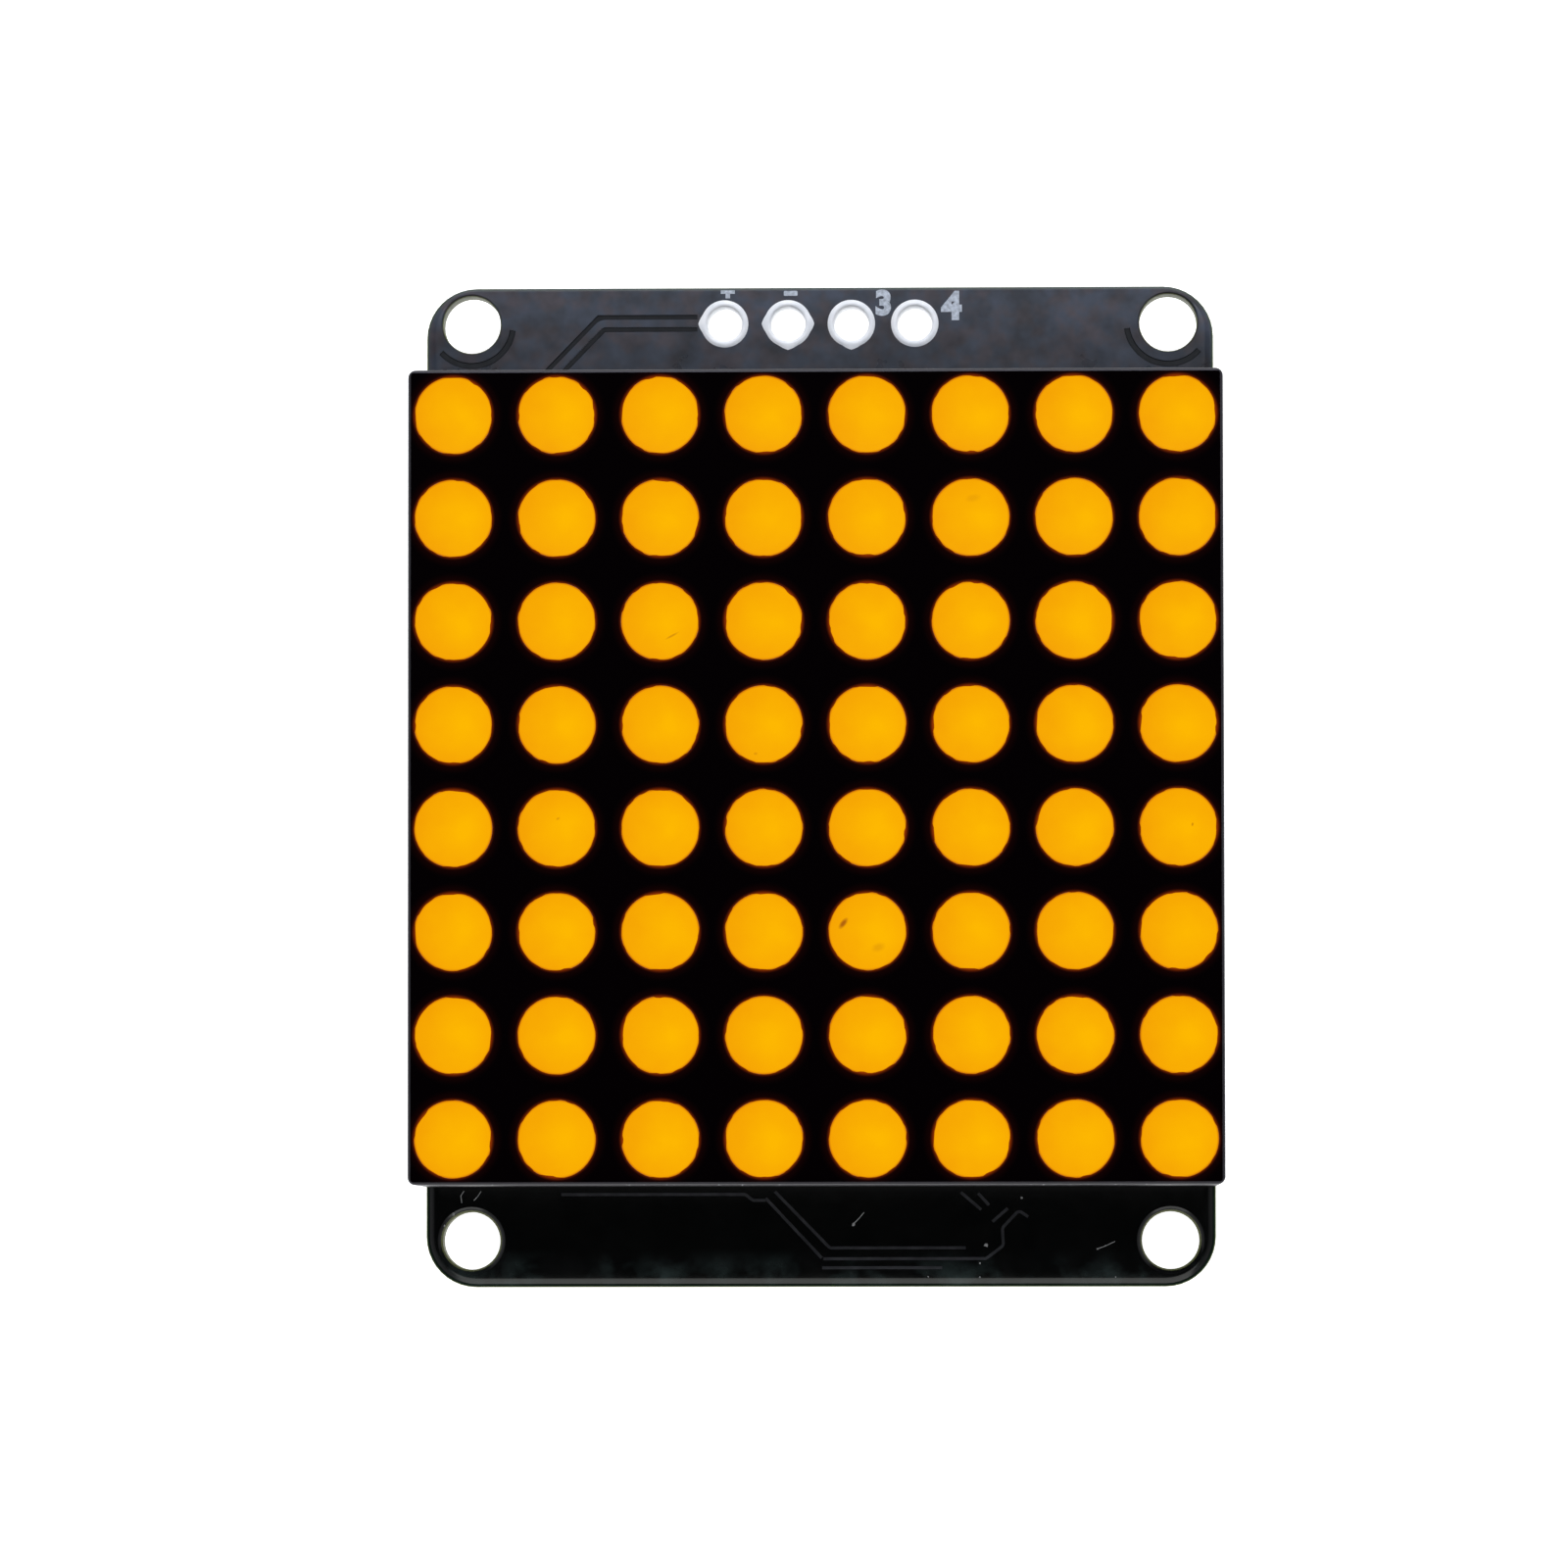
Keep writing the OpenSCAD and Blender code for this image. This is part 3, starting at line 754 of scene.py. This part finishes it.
# ---- Tracks ----
# Etched copper under the mask: the wide power track in its channel, thin tracks on the strip
# beside the lower edge, and behind, the fan of tracks from the display's pins to the chip.
sweep_tree, given, result = new_tree("follow_path", {
    "Width": "Float", "Height": "Float", "Bend": "Float", "Material": "Material"})
path = add_node(sweep_tree, "GeometryNodeMeshToCurve", {"Mesh": given["Geometry"]})
path = add_node(sweep_tree, "GeometryNodeFilletCurve", {
    "Curve": path, "Count": 4, "Radius": given["Bend"], "Limit Radius": True}, mode="POLY")
path = add_node(sweep_tree, "GeometryNodeSetCurveNormal", {"Curve": path}, mode="Z_UP")
section = add_node(sweep_tree, "GeometryNodeCurvePrimitiveQuadrilateral", {
    "Width": given["Width"], "Height": given["Height"]})
solid = add_node(sweep_tree, "GeometryNodeCurveToMesh", {
    "Curve": path, "Profile Curve": section, "Fill Caps": True})
solid = add_node(sweep_tree, "GeometryNodeRealizeInstances", {"Geometry": solid})
solid = add_node(sweep_tree, "GeometryNodeSetMaterial", {"Geometry": solid, "Material": given["Material"]})
sweep_tree.links.new(solid.outputs[0], result.inputs[0])


def swept(name, paths, height, width, thickness, bend, material):
    """A piece whose flat section follows each path; points without a height lie at height."""
    mesh = bmesh.new()
    for path in paths:
        corners = [mesh.verts.new([value * mm for value in (*point, height)[:3]]) for point in path]
        for start, end in zip(corners, corners[1:]):
            mesh.edges.new((start, end))
    made = as_piece(name, mesh)
    grow(made, sweep_tree, {
        "Width": width * mm, "Height": thickness * mm, "Bend": bend * mm, "Material": material})
    made.data.shade_flat()
    return made


# The same black mask where it bulges over a track: thinner and glossier, and a little greyer, partly for the
# thinner mask and partly as a painted sheen.
masked_copper_and_sheen = two_toned("black_mask_over_copper", 0.5, 4.0, "#131417", "#3c3d42", {"IOR": 1.5},
                          gloss=(0.25, 0.4))

track_rise = 0.012
track_film = 0.03
power_width = 0.30
front_width = 0.12
back_width = 0.25
power_copper = swept("power_copper", [power_track], board_front - channel_depth / 2, power_width,
                     channel_depth, 0.4, solder_mask)
front_paths = [
    [(-10.36, -16.31), (-3.01, -16.31), (-2.70, -16.55), (-2.20, -16.55)],
    [(-2.20, -16.46), (0.04, -18.85)],
    [(-1.83, -16.20), (0.36, -18.45), (5.78, -18.45)],
    [(0.10, -18.88), (6.59, -18.88), (7.28, -18.36), (7.24, -17.66), (7.83, -17.03), (7.95, -17.0),
     (8.27, -17.22)],
    [(0.05, -19.24), (4.84, -19.24)],
    [(6.84, -17.41), (7.46, -16.88)],
    [(5.59, -16.24), (6.40, -16.93)],
    [(6.28, -16.28), (6.71, -16.75)]]
front_tracks = swept("front_tracks", front_paths, board_front + track_rise - track_film / 2,
                     front_width, track_film, 0.2, masked_copper_and_sheen)

pin_track_end = 9.0
lead_track_end = 5.3
lead_pitch = 1.27
back_paths = []
for side in (-1, 1):
    for place_x in range(pins_per_row):
        offset = place_x - (pins_per_row - 1) / 2
        bend_y = pin_track_end - abs(offset) * (pin_pitch - lead_pitch)
        back_paths.append([
            (offset * pin_pitch, side * 11.4), (offset * pin_pitch, side * pin_track_end),
            (offset * lead_pitch, side * bend_y), (offset * lead_pitch, side * lead_track_end)])
power_x, _, data_x, clock_x = [x for x, y in header_places]
back_paths += [
    [(power_x, 17.7), (power_x, 16.9), (-4.4, 16.3), (-4.4, 15.9)],
    [(data_x, 17.7), (data_x, 17.2), (-0.6, 15.3), (-2.6, 15.3)],
    [(clock_x, 17.7), (clock_x, 17.2), (2.8, 16.2), (2.8, 15.9)],
    [(-12.3, 0.7), (-12.3, 13.9), (-10.9, 15.3), (-4.6, 15.3)],
    [(-5.0, -15.9), (-5.0, -14.9)], [(-0.8, -15.9), (-0.8, -14.9)], [(3.4, -15.9), (3.4, -14.9)],
    [(-6.9, -14.2), (-5.2, -14.2)]]
back_tracks = swept("back_tracks", back_paths, board_back - track_film / 2, back_width, track_film, 0.3,
                    masked_copper_and_sheen)
for piece in (power_copper, front_tracks, back_tracks):
    hand_in(piece, "board_laminate")


# ---- Header eyelets ----
# Plated holes for the header: a copper tube with a ring on each face, dipped in tin that has
# drawn up into a soft dome and left a few small peaks on the rims.
def tinned_metal(name, dark, light, patch, smooth, rough, wrinkle, metallic=1.0):
    """Tin, whose colour and gloss drift together over patches, with a relief of wrinkle mm."""
    return two_toned(name, patch, 4.0, light, dark, {"Metallic": metallic},
                     (0.35, 0.65), (smooth, rough), (0.5, wrinkle))


# Hot-dipped tin: the whitest metal here, with soft darker clouds where flux sat. Its frosted
# skin scatters light and hardly mirrors it, so it is only slightly metallic.
dipped_tin = tinned_metal("hot_dipped_tin", "#f0f2f4", "#ffffff", 0.5, 0.5, 0.6, 0.004, 0.10)
# Radius and height round the section: front ring, tube, back ring, and up inside the board.
eyelet_profile = [
    (0.75, 4.05), (0.95, 4.05), (0.90, 4.08), (0.83, 4.098), (0.76, 4.10), (0.72, 4.085), (0.70, 4.05),
    (0.70, 2.45), (0.72, 2.415), (0.76, 2.40), (0.83, 2.402), (0.90, 2.42), (0.95, 2.45), (0.75, 2.45)]
peak_angles = {"power_pad": [180], "ground_pad": [180, 270, 0], "data_pad": [270], "clock_pad": []}
for (name, angles), at in zip(peak_angles.items(), header_places):
    def peaked(angle, radius):
        """Scale of the outer rim at an angle: 1, or more on a pointed peak 44 degrees wide."""
        nearness = [1 - abs((angle - peak + 180) % 360 - 180) / 22 for peak in angles]
        return 1 + 0.11 * max([0.0, *nearness]) * max(radius - 0.85, 0) / 0.10

    mesh = bmesh.new()
    turned(mesh, eyelet_profile, 72, at, loop=True, sway=peaked)
    hand_in(as_piece(name.replace("pad", "eyelet"), mesh, dipped_tin, crease=60), "tinned_pad", name)


# ---- Printed marks ----
# White epoxy legend ink, screen printed beside the header: a plus and a minus at the supply
# pads, both cut short by the routed edge, and plain numbers at the other two.
# Legend ink: bluish white, matt and thin, so the black below dulls it in small patches.
legend_ink = two_toned("white_legend_ink", 0.15, 4.0, "#d2d9e3", "#9da4ad", {"Roughness": 0.6, "IOR": 1.5},
                       spread=(0.35, 0.7), relief=(0.3, 0.005))

mark_film = 0.01
mesh = bmesh.new()
plus = [(-0.09, 19.58), (0.09, 19.58), (0.09, 19.76), (0.28, 19.76), (0.28, 19.90), (-0.28, 19.90),
        (-0.28, 19.76), (-0.09, 19.76)]
plus = [(-3.68 + x, y) for x, y in plus]
for outline in (plus, rect_outline(0.55, 0.20, 0.04, 2, (-1.16, 19.77))):
    closed(mesh, [ring(mesh, outline, height) for height in (board_front - 0.05, board_front + mark_film)])
for digit, middle_x, middle_y, height in (("3", 2.55, 19.38, 1.06), ("4", 5.28, 19.26, 1.18)):
    letter = bpy.data.curves.new("number_" + digit, "FONT")
    letter.body = digit
    letter.extrude = 0.01
    letter.offset = 0.055
    holder = bpy.data.objects.new(letter.name, letter)
    scene.collection.objects.link(holder)
    plain = plain_mesh(holder)
    across = [corner.co.x for corner in plain.vertices]
    upright = [corner.co.y for corner in plain.vertices]
    size = height / (max(upright) - min(upright))
    for corner in plain.vertices:
        x = middle_x + (corner.co.x - (max(across) + min(across)) / 2) * size
        y = middle_y + (corner.co.y - (max(upright) + min(upright)) / 2) * size
        z = board_front + (mark_film if corner.co.z > 0 else -0.02)
        corner.co = (x * mm, y * mm, z * mm)
    mesh.from_mesh(plain)
    bpy.data.objects.remove(holder)
    bpy.data.curves.remove(letter)
    bpy.data.meshes.remove(plain)
bmesh.ops.remove_doubles(mesh, verts=mesh.verts, dist=0.0005 * mm)
hand_in(as_piece("printed_marks", mesh, legend_ink), "board_laminate")


# ---- Display pins and their joints ----
# Sixteen round tinned wires, nipped off behind the board, and the hand-soldered joint of
# each: a hollow cone with its foot on the pad, filling the plated hole round the wire.
# Drawn tinned wire: grey and bright, with dull lengths where flux dried on it.
tinned_wire = tinned_metal("drawn_tinned_wire", "#9a9b9d", "#cfd0d0", 0.4, 0.22, 0.40, 0.003)
# Hand-made tin-lead joint: bright, with cooling wrinkles and a greyer skin in patches.
solder = tinned_metal("hand_made_solder", "#a4a6a8", "#d6d8d9", 0.6, 0.16, 0.34, 0.02)
pin_profile = [(0.12, 1.35), (0.25, 1.50), (pin_radius, 6.0), (0.20, 6.05)]
joint_profile = [
    (0.25, 1.65), (0.30, 1.66), (0.36, 1.85), (0.43, 2.05), (0.53, 2.22), (0.66, 2.36), (0.80, 2.45),
    (barrel_radius, 2.45), (barrel_radius, board_front), (0.25, board_front)]


def lopsided(angle, radius):
    """Scale of a joint's outer surface at an angle, as solder runs more to one side."""
    return 1 + 0.06 * cos(radians(angle)) * max(radius - barrel_radius, 0) / 0.35


for side, row in ((-1, "lower"), (1, "upper")):
    for label, node, slot, profile, material in (
            ("pin_wires_", "display_pins_", "pin_metal", pin_profile, tinned_wire),
            ("solder_cones_", "pin_joints_", "solder", joint_profile, solder)):
        mesh = bmesh.new()
        is_joint = material is solder
        turned(mesh, profile, 24, loop=is_joint, sway=lopsided if is_joint else None)
        piece = as_piece(label + row, mesh, material, crease=50)
        grow(piece, grid_tree, {
            "Columns": pins_per_row, "Rows": 1, "Column pitch": pin_pitch * mm, "Row pitch": 0.0,
            "Turn": 2 * pi if is_joint else 0.0, "Seed": 5 + side, "Material": material})
        piece.data.transform(Matrix.Translation((0, side * pin_row_y * mm, 0)))
        hand_in(piece, slot, node + row)


# ---- Driver chip ----
# A 28-lead wide-body driver on the back: transfer-moulded epoxy with draft on every side, a
# half-round notch and a dimple beside lead 1, gull-wing leads and a solder toe at each foot.
def stack(mesh, levels, at=(0, 0), steps=4):
    """Closed solid through level rectangles (width, length, corner radius, height), lowest first."""
    closed(mesh, [ring(mesh, rect_outline(width, length, radius, steps, at), height)
                  for width, length, radius, height in levels])


def tapered(mesh, size, levels, at=(0, 0), steps=4):
    """A stack whose levels (inset, corner radius, height) are inset from one width and length."""
    stack(mesh, [(size[0] - 2 * inset, size[1] - 2 * inset, radius, height)
                 for inset, radius, height in levels], at, steps)


def moulded_epoxy(name, dark, light):
    """Moulding compound: matt black with a fine silica grain that sparkles a little."""
    made, add, place = open_material(name)
    filler = add("ShaderNodeTexNoise", {"Vector": place, "Scale": 1 / (0.08 * mm), "Detail": 3.0})
    flow = add("ShaderNodeTexNoise", {"Vector": place, "Scale": 1 / (2.5 * mm), "Detail": 3.0})
    colour = add("ShaderNodeMix", {
        0: flow, 6: dark, 7: light}, data_type="RGBA")
    gloss = add("ShaderNodeMapRange", {"Value": filler, "To Min": 0.45, "To Max": 0.7})
    relief = add("ShaderNodeBump", {"Strength": 0.4, "Distance": 0.01 * mm, "Height": filler})
    shader = add("ShaderNodeBsdfPrincipled", {
        "Base Color": colour.outputs[2], "Roughness": gloss, "Normal": relief, "IOR": 1.55})
    add("ShaderNodeOutputMaterial", {"Surface": shader})
    return made


def box_of(node):
    """Lowest corner, size and middle of a node's box."""
    low, high = [[value / mm for value in corner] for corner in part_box(node)]
    return low, [top - bottom for bottom, top in zip(low, high)], [(a + b) / 2 for a, b in zip(low, high)]


chip_epoxy = moulded_epoxy("transfer_moulded_epoxy", "#17171a", "#242428")
chip_low, chip_size = box_of("driver_body")[:2]
draft = 0.12
soft = 0.04
parting_low = 1.10
parting_high = 1.30
mesh = bmesh.new()
tapered(mesh, chip_size, [
    (draft + soft, 0.12, 0.0), (draft, 0.14, soft), (0, 0.18, parting_low), (0, 0.18, parting_high),
    (draft, 0.14, chip_size[2] - soft), (draft + soft, 0.12, chip_size[2])])
chip_body = as_piece("driver_moulding", mesh, chip_epoxy, crease=30)
mesh = bmesh.new()
turned(mesh, [(0.70, -0.2), (0.70, 0.2)], 40, (chip_low[0], 0))
turned(mesh, [(0.38, -0.2), (0.38, 0.02), (0.30, 0.06)], 32, (chip_low[0] + 1.3, -2.5))
cutter = as_piece("notch_cutter", mesh, chip_epoxy)
cut = chip_body.modifiers.new("notch", "BOOLEAN")
cut.object = cutter
cut.solver = "EXACT"
moulding = plain_mesh(chip_body)
chip_body.modifiers.clear()
chip_body.data = moulding
bpy.data.objects.remove(cutter)
moulding.set_sharp_from_angle(angle=radians(30))
hand_in(chip_body, "chip_epoxy", "driver_body")

# Matt tin plate over copper: pale grey, even, drifting a little darker in soft patches.
plated_lead = tinned_metal("matt_tin_plate", "#9c9da0", "#c4c5c7", 0.5, 0.34, 0.50, 0.003)
leads_a_side = 14
lead_width = 0.41
lead_thickness = 0.25
shoulder_height = 1.30
toe_row_y = 4.83
foot_height = board_back - lead_thickness / 2
for side, row in ((-1, "lower"), (1, "upper")):
    path = [(0, side * y, z) for y, z in (
        (3.75, shoulder_height), (4.15, shoulder_height), (4.45, foot_height), (5.15, foot_height))]
    leads = swept("gull_wings_" + row, [path], 0, lead_width, lead_thickness, 0.2, plated_lead)
    grow(leads, grid_tree, {"Columns": leads_a_side, "Rows": 1, "Column pitch": lead_pitch * mm,
                            "Row pitch": 0.0, "Turn": 0.0, "Seed": 1, "Material": plated_lead})
    hand_in(leads, "lead_metal", "driver_leads_" + row)

mesh = bmesh.new()
stack(mesh, [(0.43, 0.95, 0.10, board_back - 0.13), (0.50, 1.10, 0.12, board_back - 0.06),
             (0.62, 1.25, 0.12, board_back)])
chip_joints = as_piece("chip_solder_toes", mesh, solder)
grow(chip_joints, grid_tree, {
    "Columns": leads_a_side, "Rows": 2, "Column pitch": lead_pitch * mm, "Row pitch": 2 * toe_row_y * mm,
    "Turn": 0.0, "Seed": 1, "Material": solder})
hand_in(chip_joints, "solder")


# ---- Chip resistors and capacitors ----
# Two pull-ups, three address resistors and two capacitors: fired ceramic blocks with a metal
# cup fired onto each end, held by a fillet of solder that climbs the cup.
fired_alumina, add, place = open_material("glazed_alumina")
# Chip resistor: white alumina with a glossy black glass glaze over its outward face only.
level = add("ShaderNodeSeparateXYZ", {"Vector": place}).outputs["Z"]
glazed = add("ShaderNodeMapRange", {
    "Value": level, "From Min": 2.02 * mm, "From Max": 1.99 * mm})
grit = add("ShaderNodeTexNoise", {"Vector": place, "Scale": 1 / (0.06 * mm), "Detail": 3.0})
colour = add("ShaderNodeMix", {
    0: glazed, 6: "#d8d6cf", 7: "#16161a"}, data_type="RGBA")
gloss = add("ShaderNodeMapRange", {"Value": glazed, "To Min": 0.6, "To Max": 0.2})
relief = add("ShaderNodeBump", {"Strength": 0.3, "Distance": 0.004 * mm, "Height": grit})
shader = add("ShaderNodeBsdfPrincipled", {
    "Base Color": colour.outputs[2], "Roughness": gloss, "Normal": relief, "IOR": 1.6})
add("ShaderNodeOutputMaterial", {"Surface": shader})

# Multilayer capacitor: smooth tan-brown ceramic with faint cloudy firing marks.
tan_ceramic = two_toned("fired_titanate_ceramic", 0.5, 4.0, "#a8835a", "#c19c72",
                        {"Roughness": 0.35, "IOR": 1.6}, relief=(0.2, 0.004))

# Barrel-plated tin over nickel: soft grey-white, satin, slightly grainy.
end_cap = tinned_metal("barrel_plated_tin", "#b2b3b5", "#d8d9da", 0.2, 0.32, 0.46, 0.004)
cap_reach = 0.40
cap_plate = 0.05


def add_cups(name, node):
    """The two end cups of a chip part, each with a pocket for the ceramic, as one piece."""
    low, (length, width, height), middle = box_of(node)
    mesh = bmesh.new()
    for side in (-1, 1):
        cup = bmesh.new()
        shell = [ring(cup, rect_outline(height - inset, width - inset, 0.06 - inset / 4, 3), depth)
                 for inset, depth in ((0.06, 0.0), (0.0, 0.04), (0.0, cap_reach))]
        pocket = [ring(cup, rect_outline(height - 2 * cap_plate, width - 2 * cap_plate, 0.03, 3), depth)
                  for depth in (cap_reach, cap_plate)]
        band(cup, shell[0], shell[1])
        band(cup, shell[1], shell[2])
        band(cup, pocket[0], pocket[1])
        lid(cup, shell[0], up=False)
        lid(cup, shell[2], [pocket[0]])
        lid(cup, pocket[1])
        end = Vector((middle[0] + side * length / 2, middle[1], middle[2])) * mm
        bmesh.ops.transform(cup, verts=cup.verts,
                            matrix=Matrix.Translation(end) @ Matrix.Rotation(-side * pi / 2, 4, "Y"))
        plain = bpy.data.meshes.new("cup")
        cup.to_mesh(plain)
        cup.free()
        mesh.from_mesh(plain)
        bpy.data.meshes.remove(plain)
    hand_in(as_piece(name, mesh, end_cap), "end_cap_metal", node)
    return [(middle[0] + side * (length / 2 - 0.05), middle[1]) for side in (-1, 1)]


chip_parts = [("data_pull_up", "data_pull_up_caps", fired_alumina, "resistor_body"),
              ("clock_pull_up", "clock_pull_up_caps", fired_alumina, "resistor_body"),
              ("bulk_capacitor", "bulk_capacitor_caps", tan_ceramic, "capacitor_body"),
              ("supply_capacitor", "supply_capacitor_caps", tan_ceramic, "capacitor_body")]
chip_parts += [(f"address_resistor_{number}", f"address_resistor_caps_{number}", fired_alumina,
                "resistor_body") for number in range(3)]
joint_places = []
for body, caps, ceramic, slot in chip_parts:
    low, (length, width, height), middle = box_of(body)
    mesh = bmesh.new()
    tapered(mesh, (length, width), [
        (0.02, 0.02, low[2]), (0, 0.03, low[2] + 0.02), (0, 0.03, low[2] + height - 0.02),
        (0.02, 0.02, low[2] + height)], middle[:2], 3)
    hand_in(as_piece(body + "_ceramic", mesh, ceramic, crease=50), slot, body)
    joint_places += add_cups(caps + "_cups", caps)

# Solder climbs each cup's end in a hollow curve from the pad.
diode_low, diode_size, diode_middle = box_of("address_diode")
joint_places += [(diode_middle[0] + side * 1.75, diode_middle[1]) for side in (-1, 1)]
mesh = bmesh.new()
for at in joint_places:
    stack(mesh, [(0.18, 0.9, 0.05, board_back - 0.28), (0.30, 1.02, 0.07, board_back - 0.18),
                 (0.50, 1.18, 0.10, board_back - 0.08), (0.86, 1.40, 0.14, board_back)], at, 3)
hand_in(as_piece("small_part_fillets", mesh, solder, crease=60), "solder")


# ---- Address links and diode ----
# Three pairs of bare half pads, each with a low dome of tin, that a drop of solder can
# bridge, and one small moulded diode with a pale band at its cathode end.
for number in range(3):
    node = f"address_link_{number}"
    low, (length, width, height), middle = box_of(node)
    half = 0.9
    mesh = bmesh.new()
    for side in (-1, 1):
        stack(mesh, [
            (half * 0.35, width * 0.35, 0.10, low[2]), (half * 0.7, width * 0.75, 0.15, low[2] + 0.008),
            (half - 0.05, width - 0.05, 0.12, low[2] + 0.025), (half, width, 0.10, low[2] + height)],
            (middle[0] + side * (length - half) / 2, middle[1]))
    hand_in(as_piece(node + "_halves", mesh, dipped_tin, crease=60), "tinned_pad", node)

diode_epoxy = moulded_epoxy("diode_moulding_epoxy", "#19191b", "#26262a")
mesh = bmesh.new()
tapered(mesh, diode_size, [
    (0.11, 0.06, diode_low[2]), (0.08, 0.08, diode_low[2] + 0.03), (0, 0.10, diode_low[2] + 0.6),
    (0.05, 0.08, diode_low[2] + diode_size[2])], diode_middle[:2])
hand_in(as_piece("diode_moulding", mesh, diode_epoxy, crease=25), "diode_epoxy", "address_diode")
mesh = bmesh.new()
stack(mesh, [(0.35, diode_size[1] - 0.24, 0.02, diode_low[2] - 0.008),
             (0.35, diode_size[1] - 0.24, 0.02, diode_low[2] + 0.01)],
      (diode_middle[0] - 0.85, diode_middle[1]))
hand_in(as_piece("cathode_band", mesh, legend_ink), "diode_epoxy")
refinish("address_diode_tabs", plated_lead)


# ---- Dust and lint ----
# Handling dirt that has stayed on the board: pale flakes along the display's foot, a bright
# crumb with a tail, and a few short hairs beside the lower left hole.
# Skin flakes and cotton lint: dull grey to off-white in fine patches.
lint = two_toned("household_dust", 0.05, 3.0, "#6d6f72", "#c4c5c5", {"Roughness": 0.9})

# Middle and size of each flake on the board; more of them cling to the display's lower edge.
flakes = [(1.29, -17.50, 0.17), (11.03, -18.50, 0.10), (11.35, -18.36, 0.07), (-14.67, -17.07, 0.16),
          (-15.03, -17.55, 0.09), (6.59, -18.33, 0.20), (6.34, -19.07, 0.10), (8.02, -16.46, 0.12),
          (-13.90, 16.62, 0.10), (-13.20, 16.66, 0.08), (-12.97, 16.60, 0.07), (-12.20, 16.65, 0.09),
          (-6.90, 16.62, 0.08), (6.34, -19.62, 0.08), (4.28, -19.60, 0.07), (11.75, -19.62, 0.07)]
flakes = [(*flake, board_front) for flake in flakes]
flakes += [(chance.uniform(-15.5, 15.5), 0.01 - display_side / 2, chance.uniform(0.04, 0.09), face_top - 0.10)
           for _ in range(22)]
mesh = bmesh.new()
for x, y, size, level in flakes:
    corners = chance.randint(6, 9)
    reaches = [size / 2 * chance.uniform(0.6, 1.1) for _ in range(corners)]
    outline = [(x + reach * cos(2 * pi * step / corners), y + reach * sin(2 * pi * step / corners))
               for step, reach in enumerate(reaches)]
    foot = ring(mesh, outline, level - 0.01)
    top = ring(mesh, [(x + (a - x) * 0.7, y + (b - y) * 0.7) for a, b in outline], level + 0.25 * size)
    closed(mesh, [foot, top])
dust = as_piece("dust_flakes", mesh, lint)
hairs = swept("lint_hairs", [
    [(1.29, -17.50), (1.50, -17.30), (1.73, -17.03)],
    [(11.03, -18.50), (11.35, -18.38), (11.73, -18.20)],
    [(-14.25, -16.16), (-14.38, -16.36), (-14.34, -16.64)],
    [(-13.57, -16.18), (-13.70, -16.38), (-13.85, -16.54)]], board_front + 0.02, 0.028, 0.02, 0.1, lint)
for piece in (dust, hairs):
    hand_in(piece, "board_laminate")
